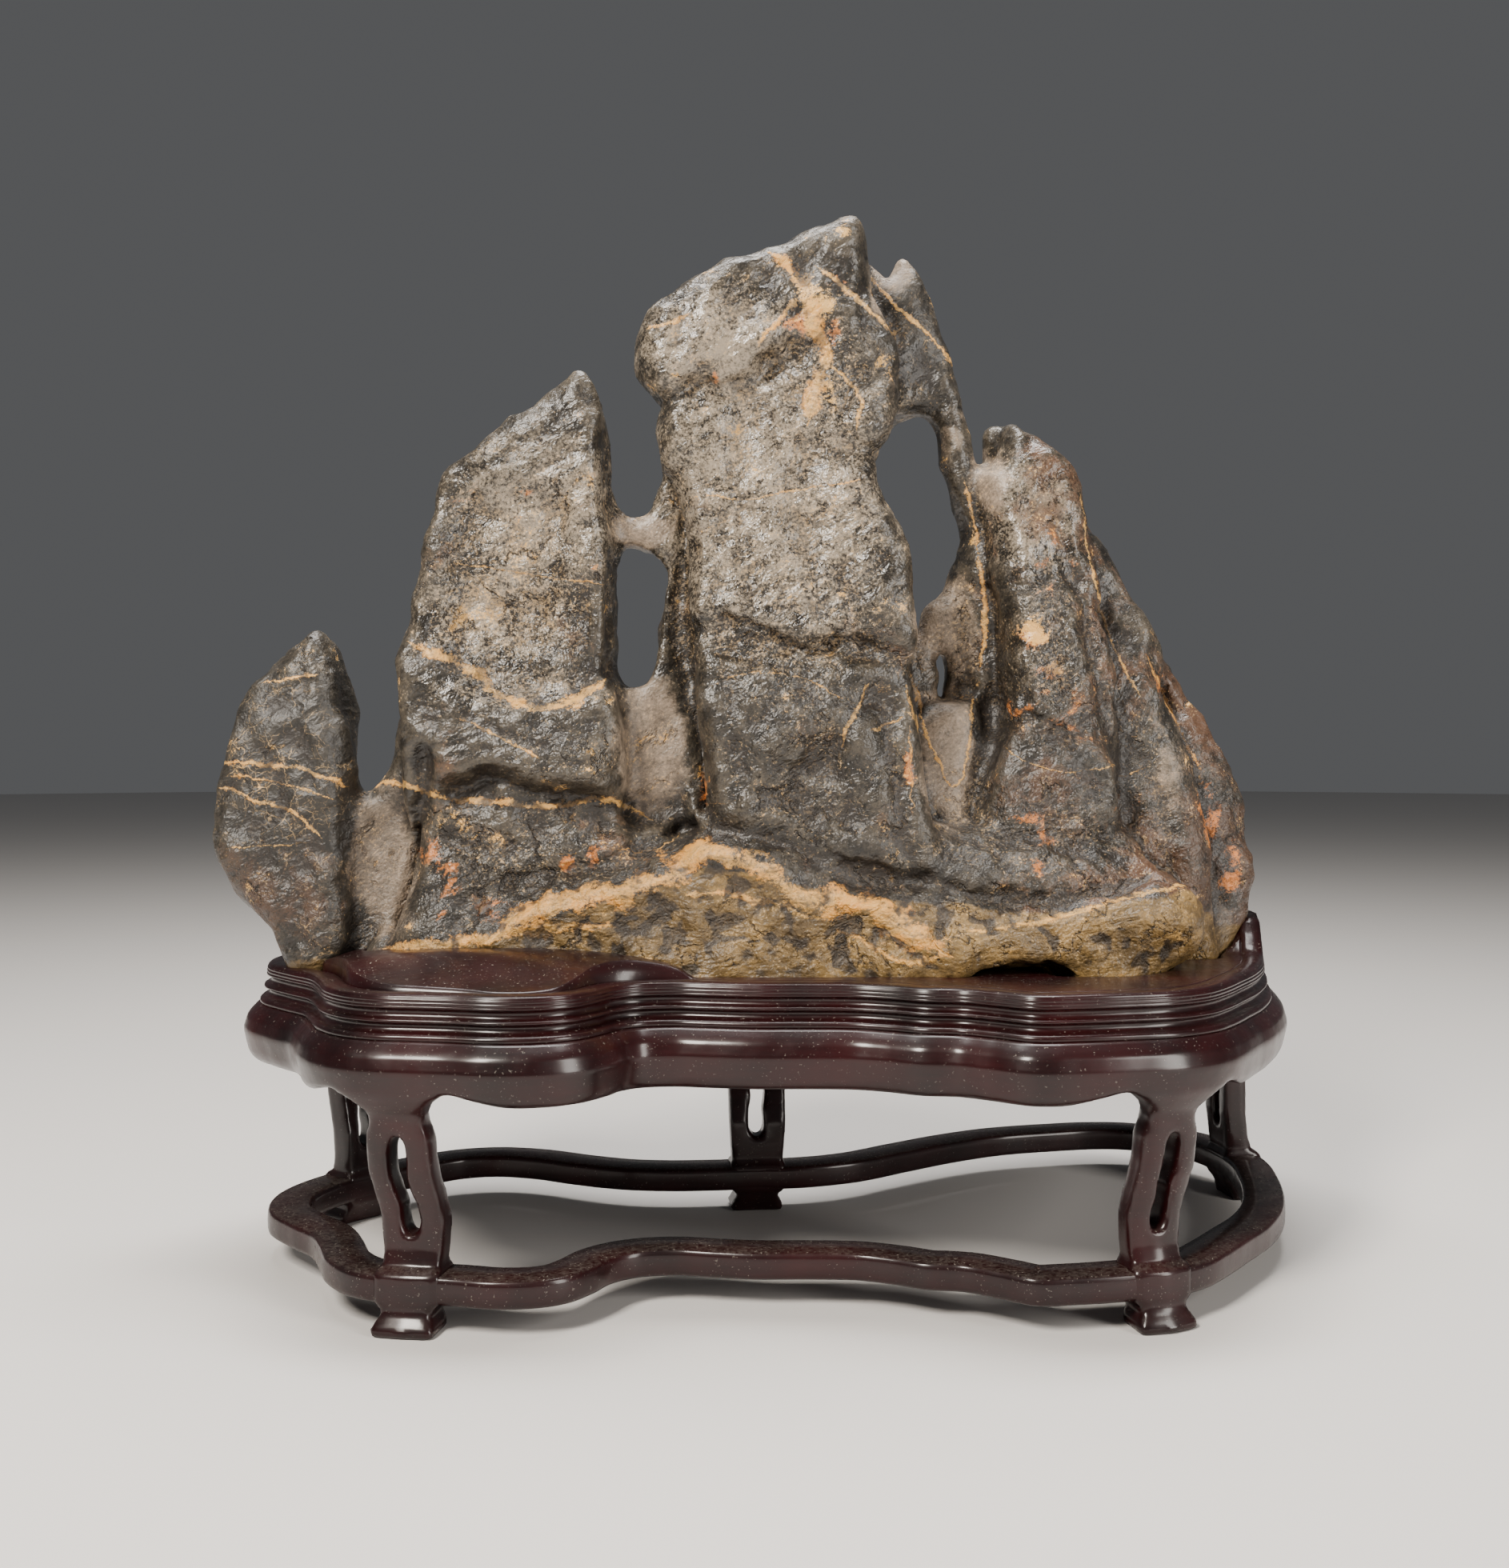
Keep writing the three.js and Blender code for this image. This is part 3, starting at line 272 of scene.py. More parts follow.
# Veins: group, half width in mm, warmth from cream to ochre, and the line as the photograph's eye sees it
VEINS = {
    "base": (0, 5.6, 0.6, [(600, 1180), (650, 1150), (680, 1135), (740, 1120), (790, 1110), (830, 1098),
        (852, 1078), (885, 1062), (920, 1078), (950, 1083), (970, 1092), (1000, 1125), (1070, 1130),
        (1100, 1140), (1130, 1160), (1160, 1180), (1200, 1202)]),
    "base_left": (1, 2.2, 0.5, [(470, 1190), (530, 1180), (590, 1176), (650, 1166), (720, 1156),
        (780, 1160)]),
    "base_low": (1, 1.4, 0.4, [(850, 1122), (900, 1115), (940, 1124), (980, 1130), (1000, 1145),
        (1030, 1148)]),
    "base_lower": (1, 1.2, 0.4, [(1040, 1160), (1080, 1175), (1110, 1195), (1140, 1205), (1180, 1195)]),
    "peak_band": (0, 2.2, 0.35, [(505, 800), (540, 815), (560, 825), (600, 845), (620, 865), (650, 880),
        (690, 885), (720, 875), (745, 858), (762, 842)]),
    "peak_thin": (0, 0.4, 0.4, [(560, 702), (640, 715), (760, 731)]),
    "peak_cross": (1, 0.9, 0.35, [(570, 897), (610, 915), (640, 930), (675, 948)]),
    "peak_level": (0, 1.5, 0.3, [(455, 972), (480, 976), (520, 985), (560, 997), (620, 1003), (700, 1007),
        (760, 1000), (800, 1017), (822, 1028)]),
    "blade_main": (0, 1.1, 0.35, [(270, 955), (300, 953), (360, 958), (385, 962), (400, 970), (440, 985)]),
    "blade_second": (1, 0.8, 0.3, [(270, 984), (300, 990), (315, 1000), (340, 1005), (375, 1020),
        (405, 1050)]),
    "blade_third": (2, 0.6, 0.3, [(285, 970), (330, 975), (372, 985), (420, 1000)]),
    "blade_low": (0, 0.35, 0.2, [(285, 1060), (320, 1058), (400, 1052)]),
    "blade_top": (0, 0.7, 0.3, [(325, 854), (365, 848), (400, 843)]),
    "crown": (0, 3.2, 0.4, [(955, 312), (980, 330), (1000, 350), (1012, 380), (1018, 405), (1030, 430),
        (1034, 455), (1020, 480), (1014, 505), (1008, 535)]),
    "crown_branch": (1, 1.2, 0.5, [(1000, 370), (985, 388), (968, 405), (945, 435)]),
    "crown_slant": (2, 0.9, 0.25, [(1010, 325), (1030, 340), (1060, 365), (1100, 400), (1150, 440),
        (1212, 505)]),
    "crown_side": (1, 1.0, 0.3, [(1030, 450), (1055, 470), (1075, 500), (1070, 540)]),
    "brow": (1, 1.1, 0.35, [(808, 413), (840, 402), (862, 394)]),
    "column_crack": (0, 0.45, 0.4, [(870, 615), (925, 625), (1000, 612), (1085, 600)]),
    "column_low": (1, 0.8, 0.4, [(1085, 850), (1075, 880), (1060, 905), (1050, 940)]),
    "column_edge": (1, 0.5, 0.6, [(1137, 900), (1138, 960), (1140, 1020)]),
    "column_dash": (2, 0.5, 0.5, [(1085, 915), (1110, 905), (1130, 895)]),
    "trough": (0, 0.9, 0.4, [(1130, 850), (1145, 900), (1165, 940), (1183, 980), (1193, 985), (1203, 975),
        (1213, 920), (1216, 880)]),
    "inner_ridge": (1, 1.1, 0.45, [(1205, 620), (1215, 660), (1222, 700), (1228, 740), (1231, 790),
        (1229, 830), (1222, 860)]),
    "outer_crease": (0, 0.8, 0.35, [(1348, 600), (1360, 680), (1378, 750), (1400, 800), (1430, 850)]),
    "right_base": (0, 1.1, 0.35, [(1200, 1165), (1260, 1160), (1330, 1145), (1420, 1118), (1500, 1104)]),
    "wing": (1, 0.9, 0.8, [(1430, 780), (1455, 830), (1480, 880), (1500, 920)]),
    "right_fine": (2, 0.35, 0.3, [(1250, 930), (1300, 960), (1380, 960), (1440, 930)]),
    "middle_fine": (2, 0.3, 0.3, [(880, 860), (940, 840), (1010, 850), (1060, 880)]),
}

# Stains as the photograph's eye sees them: place and radii in pixels, strength
ORANGE_STAINS = [
    (545, 1065, 30, 18, 0.8), (562, 1095, 22, 30, 0.9), (552, 1145, 14, 30, 0.7), (710, 1078, 10, 18, 0.8),
    (742, 1072, 12, 22, 0.8), (880, 990, 8, 22, 0.8), (1137, 960, 8, 30, 0.6), (893, 470, 8, 18, 0.8),
    (1290, 795, 24, 22, 1.0), (1308, 840, 18, 16, 0.9), (1278, 885, 34, 12, 0.8), (1320, 700, 50, 45, 0.5),
    (1275, 1020, 34, 18, 0.7), (1300, 1050, 24, 24, 0.6), (1297, 1082, 18, 16, 0.6),
    (1513, 975, 16, 50, 1.0), (1538, 1040, 16, 44, 1.0), (1450, 820, 10, 30, 0.6), (660, 615, 12, 10, 0.8),
    (1050, 345, 26, 18, 0.8), (1000, 395, 14, 26, 0.8), (1040, 420, 12, 24, 0.7), (1110, 455, 16, 14, 0.4),
    (985, 400, 12, 20, 0.6), (590, 640, 60, 40, 0.25), (740, 690, 10, 40, 0.4), (1340, 900, 70, 60, 0.3),
    (630, 1140, 60, 20, 0.6), (1400, 1000, 40, 60, 0.25), (820, 455, 8, 16, 0.3),
]
CREAM_STAINS = [
    (1012, 375, 28, 32, 1.0), (1032, 490, 20, 40, 0.7), (1108, 455, 14, 12, 0.8), (1290, 793, 26, 22, 1.0),
    (1308, 838, 16, 14, 0.9), (700, 880, 40, 12, 0.5), (1056, 287, 14, 7, 0.8), (930, 345, 30, 12, 0.3),
    (1035, 440, 14, 18, 0.7),
]
# Bare, light hollows between the peaks, their colour partly the bare stone's and partly painted light in
# these recesses
BARE_LIT_WEBS = [
    (478, 1080, 46, 100, 1.0), (800, 665, 44, 26, 1.0), (815, 930, 46, 100, 1.0), (1115, 370, 30, 34, 1.0),
    (1185, 960, 36, 90, 1.0), (1180, 810, 46, 80, 0.8), (1235, 610, 30, 40, 0.8),
    (1460, 950, 24, 120, 0.5), (1525, 1120, 22, 60, 0.6), (1190, 560, 20, 60, 0.5),
]

# Upper edge of the olive band at the stone's foot, and its softness in pixels
BAND_LINE = [
    (430, 1200), (520, 1182), (620, 1166), (700, 1144), (790, 1122), (850, 1100), (885, 1084), (970, 1098),
    (1060, 1122), (1200, 1132), (1300, 1142), (1420, 1125), (1520, 1110),
]
BAND_SOFTNESS = 10
# Where the stone turns warmer: pixels from which and up to which it does, and how much
WARM_RIGHT = (1215, 1290, 0.75)
WARM_WING = (1470, 1510, 0.3)
WARM_LOW_LEFT = ((620, 540), (1020, 1060), 0.5)

# At the stone's back the veins rise and fall by so many pixels, in waves of so many radians for each mm
VEIN_TILT = 46
VEIN_WAVE = 0.02

# Bounds of the grid on which the stone is found; it begins just below the stone's foot
STONE_LOW = (-206.0, 34.0)
STONE_HIGH = (204.0, 182.0, 382.0)

# Hollows at two scales: rounds of smoothing, depth in mm that counts as full, share
HOLLOW_SCALES = ((4, 0.24, 0.55), (24, 1.4, 0.5))


def smooth_step(low, high, value):
    """0 at low, 1 at high and a smooth rise between them"""
    t = np.clip((value - low) / (high - low), 0, 1)
    return t * t * (3 - 2 * t)


def open_curve(knots, steps):
    """Points of a smooth open curve through the knots"""
    knots = np.asarray(knots, float)
    if len(knots) < 3:
        return knots
    ends = np.vstack([2 * knots[0] - knots[1], knots, 2 * knots[-1] - knots[-2]])
    return np.vstack([closed_curve(ends, steps)[steps:len(knots) * steps], knots[-1:]])


def closed_curve(knots, steps):
    """Points of a smooth closed curve through the knots, with so many steps between two knots"""
    knots = np.asarray(knots, float)
    before, start, end, after = (np.roll(knots, shift, axis=0) for shift in (1, 0, -1, -2))
    first = np.sqrt(np.linalg.norm(start - before, axis=1, keepdims=True))
    second = first + np.sqrt(np.linalg.norm(end - start, axis=1, keepdims=True))
    third = second + np.sqrt(np.linalg.norm(after - end, axis=1, keepdims=True))
    points = []
    for step in range(steps):
        t = first + (second - first) * step / steps
        a = (first - t) / first * before + t / first * start
        b = (second - t) / (second - first) * start + (t - first) / (second - first) * end
        c = (third - t) / (third - second) * end + (t - second) / (third - second) * after
        d = (second - t) / second * a + t / second * b
        e = (third - t) / (third - first) * b + (t - first) / (third - first) * c
        points.append((second - t) / (second - first) * d + (t - first) / (second - first) * e)
    return np.stack(points, axis=1).reshape(-1, knots.shape[1])


def segment_distance(x, z, a, b):
    """Distance to the segment from a to b, and how far along it the nearest point is, from 0 to 1"""
    ex, ez = b[0] - a[0], b[1] - a[1]
    t = np.clip(((x - a[0]) * ex + (z - a[1]) * ez) / max(ex * ex + ez * ez, 1e-9), 0, 1)
    return np.hypot(x - a[0] - ex * t, z - a[1] - ez * t), t


def ring_distance(x, z, ring):
    """Distance to a closed outline, negative inside it"""
    nearest = np.full(np.shape(x), np.inf)
    inside = np.zeros(np.shape(x), bool)
    for a, b in zip(ring, np.roll(ring, -1, axis=0)):
        nearest = np.minimum(nearest, segment_distance(x, z, a, b)[0])
        if a[1] != b[1]:
            crosses = (a[1] > z) != (b[1] > z)
            inside ^= crosses & (x < (b[0] - a[0]) * (z - a[1]) / (b[1] - a[1]) + a[0])
    return np.where(inside, -nearest, nearest)


def tapered(along, share):
    """1 in the middle of a line, and a smooth fall to 0 over a share of it at each end"""
    return smooth_step(0, share, along) * smooth_step(1, 1 - share, along)


def smooth_min(a, b, reach):
    """The smaller of two values, blended where they differ by less than a reach"""
    overlap = np.maximum(reach - np.abs(a - b), 0) / reach
    return np.minimum(a, b) - overlap * overlap * reach / 4


def seen_by_eye(x, y, z):
    """Where the photograph's eye sees a point, in its pixels"""
    scale = EYE_PIXELS / (EYE_STAND_OFF + y)
    return AXIS_X + x * scale, HORIZON + (EYE_HEIGHT - z) * scale


def on_front_plane(line):
    """Points of the photograph moved onto the plane near the stone's front, in mm in X and Z"""
    scale = (EYE_STAND_OFF + FRONT_PLANE) / EYE_PIXELS
    return [((px - AXIS_X) * scale, EYE_HEIGHT + (HORIZON - py) * scale) for px, py in line]


def relief_depth(x, z, strokes):
    """How deep lines of relief lie at X and Z"""
    depth = np.zeros(np.shape(x))
    for width, deep, ledge, reach, line in strokes:
        nearest = np.full(np.shape(x), np.inf)
        side = np.zeros(np.shape(x))
        for a, b in zip(line[:-1], line[1:]):
            away, _ = segment_distance(x, z, a, b)
            over = (b[0] - a[0]) * (z - a[1]) - (b[1] - a[1]) * (x - a[0])
            over = over / math.hypot(b[0] - a[0], b[1] - a[1])
            side = np.where(away < nearest, over, side)
            nearest = np.minimum(nearest, away)
        depth = depth + deep * np.exp(-(nearest / width) ** 2)
        if ledge:
            depth = depth - ledge * np.tanh(side / width) * np.exp(-nearest / reach)
    return depth


class StoneField:
    """The stone as a function of a point: below zero inside it, about the distance in mm near it"""

    def __init__(self):
        self.slabs = []
        for slab in SLABS.values():
            ring = closed_curve(slab["outline"], 3)
            self.slabs.append(dict(slab, ring=ring, tip=ring[:, 1].max()))
        self.holes = [closed_curve(hole, 3) for hole in HOLES]
        self.front = [(*sizes, open_curve(on_front_plane(line), 3)) for *sizes, line in FRONT_RELIEF]

    def slab_value(self, slab, edge, y, z):
        """Value of one slab, from the distance to its outline and the place across it"""
        rise = np.clip((z - SOCKET_FLOOR) / (slab["tip"] - SOCKET_FLOOR), 0, 1)
        core = slab["half"][0] + (slab["half"][1] - slab["half"][0]) * rise - slab["round"]
        side = np.abs(y - slab["depth"] - slab["lean"] * (z - SOCKET_FLOOR)) - core
        edge = edge + slab["round"]
        outer = np.hypot(np.maximum(edge, 0), np.maximum(side, 0))
        return outer + np.minimum(np.maximum(edge, side), 0) - slab["round"]

    def value(self, x, y, z):
        """Value at points, given as arrays of one shape"""
        total = np.full(np.shape(x), OPEN_AIR)
        for slab in self.slabs:
            edge = ring_distance(x, z, slab["ring"])
            total = smooth_min(total, self.slab_value(slab, edge, y, z), BLEND)
        return self.carve(total, *self.seen_from_front(x, z), x, y, z)

    def seen_from_front(self, x, z):
        """What depends on X and Z alone: the distance to the holes, and the relief of front and back"""
        hole = np.min([ring_distance(x, z, ring) for ring in self.holes], axis=0)
        return hole, relief_depth(x, z, self.front), relief_depth(x, z, BACK_RELIEF)

    def carve(self, total, hole, front, back, x, y, z):
        """Value of the joined slabs with relief, holes and the arch under the foot"""
        toward_back = smooth_step(*FRONT_ENDS, y)
        total = total + RELIEF_DEPTH * front * (1 - toward_back) + back * toward_back
        (cx, cy, cz), (rx, ry, rz) = FOOT_ARCH
        arch = (np.sqrt(((x - cx) / rx) ** 2 + ((y - cy) / ry) ** 2 + ((z - cz) / rz) ** 2) - 1) * rz
        return -smooth_min(-total, np.minimum(hole, arch), HOLE_BLEND)

    def grid(self, low, high, cell):
        """Values on a grid of points: what depends on X and Z alone is worked out once for each column"""
        xs, ys, zs = (np.arange(low[axis], high[axis] + cell, cell) for axis in range(3))
        flat_x, flat_z = np.meshgrid(xs, zs, indexing="ij")
        y = ys[None, :, None].astype(np.float32)
        z = zs[None, None, :].astype(np.float32)
        total = np.full((len(xs), len(ys), len(zs)), OPEN_AIR, np.float32)
        margin = 2 * BLEND + cell
        for slab in self.slabs:
            ring = slab["ring"]
            i = np.searchsorted(xs, [ring[:, 0].min() - margin, ring[:, 0].max() + margin])
            k = np.searchsorted(zs, [ring[:, 1].min() - margin, ring[:, 1].max() + margin])
            across = (slice(*i), slice(*k))
            edge = ring_distance(flat_x[across], flat_z[across], ring).astype(np.float32)
            value = self.slab_value(slab, edge[:, None, :], y, z[:, :, slice(*k)])
            block = (slice(*i), slice(None), slice(*k))
            total[block] = smooth_min(total[block], value, BLEND)
        flat = (part[:, None, :].astype(np.float32) for part in self.seen_from_front(flat_x, flat_z))
        return self.carve(total, *flat, xs[:, None, None].astype(np.float32), y, z)


def surface_net(values, low, cell, is_loop=False):
    """Vertices and quads of the surface where a grid of values passes through zero. The grid may
    close on itself along its first axis."""
    if is_loop:
        values = np.concatenate([values, values[:1]])
    inside = values < 0
    corners = inside.astype(np.uint8)
    for axis in range(3):
        corners = np.moveaxis(corners, axis, 0)
        corners = np.moveaxis(corners[:-1] + corners[1:], 0, axis)
    active = np.argwhere((corners > 0) & (corners < 8))
    number = np.full(corners.shape, -1)
    number[tuple(active.T)] = np.arange(len(active))
    total = np.zeros((len(active), 3))
    count = np.zeros(len(active))
    for axis in range(3):
        for u in (0, 1):
            for v in (0, 1):
                start = np.zeros(3, int)
                start[(axis + 1) % 3], start[(axis + 2) % 3] = u, v
                first = active + start
                last = first.copy()
                last[:, axis] += 1
                a, b = values[tuple(first.T)], values[tuple(last.T)]
                crosses = (a < 0) != (b < 0)
                point = np.tile(start.astype(float), (len(active), 1))
                point[:, axis] += a / np.where(crosses, a - b, 1)
                total += crosses[:, None] * point
                count += crosses
    vertices = np.asarray(low) + np.asarray(cell) * (active + total / count[:, None])
    quads = []
    for axis in range(3):
        u, v = (axis + 1) % 3, (axis + 2) % 3
        here = [slice(None)] * 3
        there = [slice(None)] * 3
        here[axis], there[axis] = slice(0, -1), slice(1, None)
        where = np.argwhere(inside[tuple(here)] != inside[tuple(there)])
        for side in (u, v):
            if is_loop and side == 0:
                where = where[where[:, 0] < corners.shape[0]]
            else:
                where = where[(where[:, side] > 0) & (where[:, side] < corners.shape[side])]
        step_u, step_v = np.eye(3, dtype=int)[u], np.eye(3, dtype=int)[v]
        around = [where - step_u - step_v, where - step_v, where, where - step_u]
        quad = np.stack([number[tuple(place.T)] for place in around], axis=1)
        is_out = ~inside[tuple(where.T)]
        quad[is_out] = quad[is_out][:, ::-1]
        quads.append(quad)
    return vertices, np.concatenate(quads)


def largest_part(vertices, quads):
    """The largest connected part of a mesh"""
    label = np.arange(len(vertices))
    while True:
        lowest = label[quads].min(axis=1)
        changed = label.copy()
        for corner in range(4):
            np.minimum.at(changed, quads[:, corner], lowest)
        changed = changed[changed]
        if (changed == label).all():
            break
        label = changed
    main = np.bincount(label).argmax()
    keep = label == main
    renamed = np.cumsum(keep) - 1
    return vertices[keep], renamed[quads[keep[quads[:, 0]]]]


def vertex_normals(vertices, quads):
    """Outward directions at the vertices, as a mean over the quads around each"""
    a, b, c, d = (vertices[quads[:, corner]] for corner in range(4))
    face = np.cross(c - a, d - b)
    normals = np.zeros_like(vertices)
    for corner in range(4):
        np.add.at(normals, quads[:, corner], face)
    return normals / np.maximum(np.linalg.norm(normals, axis=1, keepdims=True), 1e-9)


def add_object(name, data):
    """A new object in the scene with its data"""
    made = bpy.data.objects.new(name, data)
    bpy.context.scene.collection.objects.link(made)
    return made


def smooth_faces(mesh):
    mesh.polygons.foreach_set("use_smooth", [True] * len(mesh.polygons))


def make_mesh(name, vertices, faces):
    """A smooth mesh object from points in mm in the drawing's frame"""
    mesh = bpy.data.meshes.new(name)
    places = (np.asarray(vertices, float) - MIDDLE) * MM
    mesh.from_pydata(places.tolist(), [], [list(map(int, face)) for face in faces])
    smooth_faces(mesh)
    mesh.update()
    return add_object(name, mesh)


# Plan outline of the stretcher ring, counter-clockwise from the front left leg, seen from above
OUTLINE = [
    (-120, 5), (-109, 3), (-96, 1), (-82, -2), (-68, -1), (-58, 4), (-51, 13), (-46, 22), (-38, 28),
    (-26, 30), (-14, 28), (0, 26), (18, 26), (34, 25), (45, 21), (55, 16), (67, 14), (77, 8), (88, 1),
    (102, 2), (118, 5), (133, 9), (147, 18), (157, 29), (168, 43), (181, 60), (191, 78), (198, 98),
    (203, 120), (206, 142), (204, 164), (197, 184), (183, 200), (164, 209), (146, 210), (125, 206),
    (101, 199), (78, 187), (55, 171), (34, 156), (14, 149), (0, 148), (-16, 146), (-34, 145), (-50, 147),
    (-66, 153), (-85, 162), (-105, 166), (-123, 162), (-139, 151), (-155, 137), (-168, 122), (-176, 105),
    (-178, 90), (-174, 74), (-163, 60), (-152, 48), (-146, 36), (-140, 22), (-131, 11),
]
PLAN_SAMPLES = 600
NORMAL_REACH = 6
# How far the stand's right end leans in, between two places along X and two heights
LEAN_IN = dict(amount=8.0, start=145.0, end=200.0, low=20.0, high=75.0)

# Places of the legs, and how far the front ones drift along the outline between two heights
LEGS = dict(
    front_left=(-113, 4), front_right=(134, 9.5), right=(204, 162), back=(0, 148), left=(-161, 131))
LEG_DRIFT = dict(front_left=3.5, front_right=-3.5)
DRIFT_HEIGHTS = (56, 32)

# Rows of a leg from the floor up: height, outer offset from the outline, thickness, half width
LEG_ROWS = [
    (0, 3.6, 14.4, 10), (2.2, 3.9, 14.8, 10.4), (4.2, 2.6, 14.4, 9.4), (6.8, 0.7, 14.0, 8.0),
    (8.4, 0.4, 15, 9), (9.5, 0.7, 15.6, 11), (18.2, 0.7, 15.6, 11), (19.4, -0.4, 14, 10.8),
    (21, -3.2, 10.4, 10), (26, -4.5, 9.5, 10.4), (36, -4.1, 9.5, 11), (50, -1.2, 9.5, 11.2),
    (61, 0, 9.5, 11), (66, 0.6, 9.5, 9.4), (69, 1.4, 9.5, 9), (72, 4.0, 10.6, 10.4), (76.5, 6.8, 12, 15),
    (84, 8.5, 12.5, 15), (89, 7.0, 11, 15), (91.5, 4.6, 8.6, 15), (93, 3, 7, 15),
]
# How far to each side of its middle a leg has its ridge and its slot, and the ridge on its outside
LEG_REACH = 12
LEG_RIDGE = dict(height=0.9, ends=72, full=60)
# The apron's lower edge rises toward each leg's shoulder
APRON = dict(bottom=73.0, rise=4.6, reach=26.0, shoulder=15)
FRAME_TOP = 93.0
# Radii of the corners between leg and apron, of the slot's rim and of all other edges
CORNER = 6
SLOT_RIM = 1.2
FRAME_EDGE = 2.2
# Bounds of the grid on which the frame is found, across the outline and upward, and its cells' shape
FRAME_GRID = dict(inner=-18.2, outer=11.5, low=-2.0, high=95.5)
FRAME_CELL = (0.8, 0.9)

# Slot through a leg: along the outline and height
SLOT = [
    (0.3, 62.5), (2.2, 61), (3.0, 57), (2.9, 52), (2.4, 48), (2.2, 45), (3.0, 41.5), (3.3, 37), (3.0, 33),
    (1.4, 30.6), (-0.8, 30.2), (-2.4, 32.4), (-2.7, 36), (-2.3, 40.5), (-3.0, 44), (-3.3, 50), (-2.9, 56),
    (-2.0, 60.5),
]

# Sections of the board's moulded edge, from its underside round to its inner edge, and of the ring:
# offset from the outline and height
EDGE_MOULDING = [
    (-11, 92.2), (1.6, 92.2), (2.5, 92.8), (2.8, 93.5), (2.7, 94.3), (2.1, 94.9), (1.2, 95.2), (0.2, 95.6),
    (-0.5, 96.3), (-0.7, 97.2), (-0.4, 98.0), (0.2, 98.3), (0.9, 98.4), (1.3, 98.8), (1.2, 99.3),
    (0.6, 99.6), (-0.2, 99.8), (-0.9, 100.3), (-1.2, 101.2), (-1.0, 102.1), (-0.5, 102.6), (0.1, 102.8),
    (0.4, 103.1), (0.4, 103.5), (0.05, 103.75), (0.25, 104.0), (0.35, 104.35), (0.25, 104.7),
    (-0.05, 104.9), (0.15, 105.15), (0.2, 105.5), (0.0, 105.85), (-0.25, 106.0), (-0.2, 106.35),
    (-0.7, 106.85), (-1.7, 107.2), (-3.6, 107.4), (-5.6, 107.35), (-7.5, 106.9), (-7.8, 106.2),
    (-11, 106.0),
]
RING_SECTION = [
    (-0.9, 9.6), (-0.2, 10.2), (0.1, 11.4), (0.2, 14.0), (0.1, 16.6), (-0.2, 17.8), (-0.9, 18.5),
    (-7.5, 18.7), (-14.1, 18.5), (-14.8, 17.8), (-15, 16.6), (-15, 11.4), (-14.8, 10.2), (-14.1, 9.6),
]
# Heights at which the lean of the right end is taken for the edge and for the ring
EDGE_LEVEL = 100.0
RING_LEVEL = 14.0

# Raised lip in front of the stone at the left, and rippled wall at the right end
HILL = dict(x=-88.0, half_width=66.0, height=9.8, front=2.0, full=42.0, back=90)
END_WALL = dict(x=190.0, y=122.0, radius=17.0, height=13.0, ripple=0.9, wave=0.8, foot=4)
# The board inside its moulded edge: its underside, its offset from the outline and its bevel
BOARD_BOTTOM = 93.3
PANEL_EDGE = -7.9
PANEL_ROUND = 0.6
# The board's rows draw together toward this line, by this share: its ends along X, and its Y
CORE_LINE = (-110.0, 130.0, 95.0)
LAST_DRAW = 0.94
# Distances from the stone between which the socket's wall rises
SOCKET_WALL = (0.3, 1.5)


class Plan:
    """The stand's outline: a place on it is a length along it and an offset outward"""

    def __init__(self):
        dense = closed_curve(OUTLINE, 40)
        steps = np.linalg.norm(np.roll(dense, -1, axis=0) - dense, axis=1)
        lengths = np.concatenate([[0], np.cumsum(steps)])
        self.length = lengths[-1]
        closed = np.vstack([dense, dense[:1]])
        at = np.arange(PLAN_SAMPLES) * self.length / PLAN_SAMPLES
        self.points = np.stack([np.interp(at, lengths, closed[:, axis]) for axis in (0, 1)], axis=1)
        along = np.roll(self.points, -1, axis=0) - np.roll(self.points, 1, axis=0)
        along /= np.linalg.norm(along, axis=1, keepdims=True)
        along = sum(np.roll(along, shift, axis=0) for shift in range(-NORMAL_REACH, NORMAL_REACH + 1))
        along /= np.linalg.norm(along, axis=1, keepdims=True)
        self.normals = np.stack([along[:, 1], -along[:, 0]], axis=1)

    def nearest(self, point):
        return np.linalg.norm(self.points - point, axis=1).argmin() * self.length / PLAN_SAMPLES

    def place(self, s, offset, height):
        """Points at lengths s along the outline, moved outward and up; the right end leans in above"""
        s, offset, height = np.broadcast_arrays(s, offset, height)
        place = np.mod(s / self.length * PLAN_SAMPLES, PLAN_SAMPLES)
        a = np.floor(place).astype(int) % PLAN_SAMPLES
        b = (a + 1) % PLAN_SAMPLES
        t = (place - np.floor(place))[..., None]
        point = self.points[a] * (1 - t) + self.points[b] * t
        normal = self.normals[a] * (1 - t) + self.normals[b] * t
        flat = point + normal * offset[..., None]
        lean = LEAN_IN["amount"] * smooth_step(LEAN_IN["start"], LEAN_IN["end"], flat[..., 0])
        lean = lean * smooth_step(LEAN_IN["low"], LEAN_IN["high"], height)
        return np.stack([flat[..., 0] - lean, flat[..., 1], height], axis=-1)


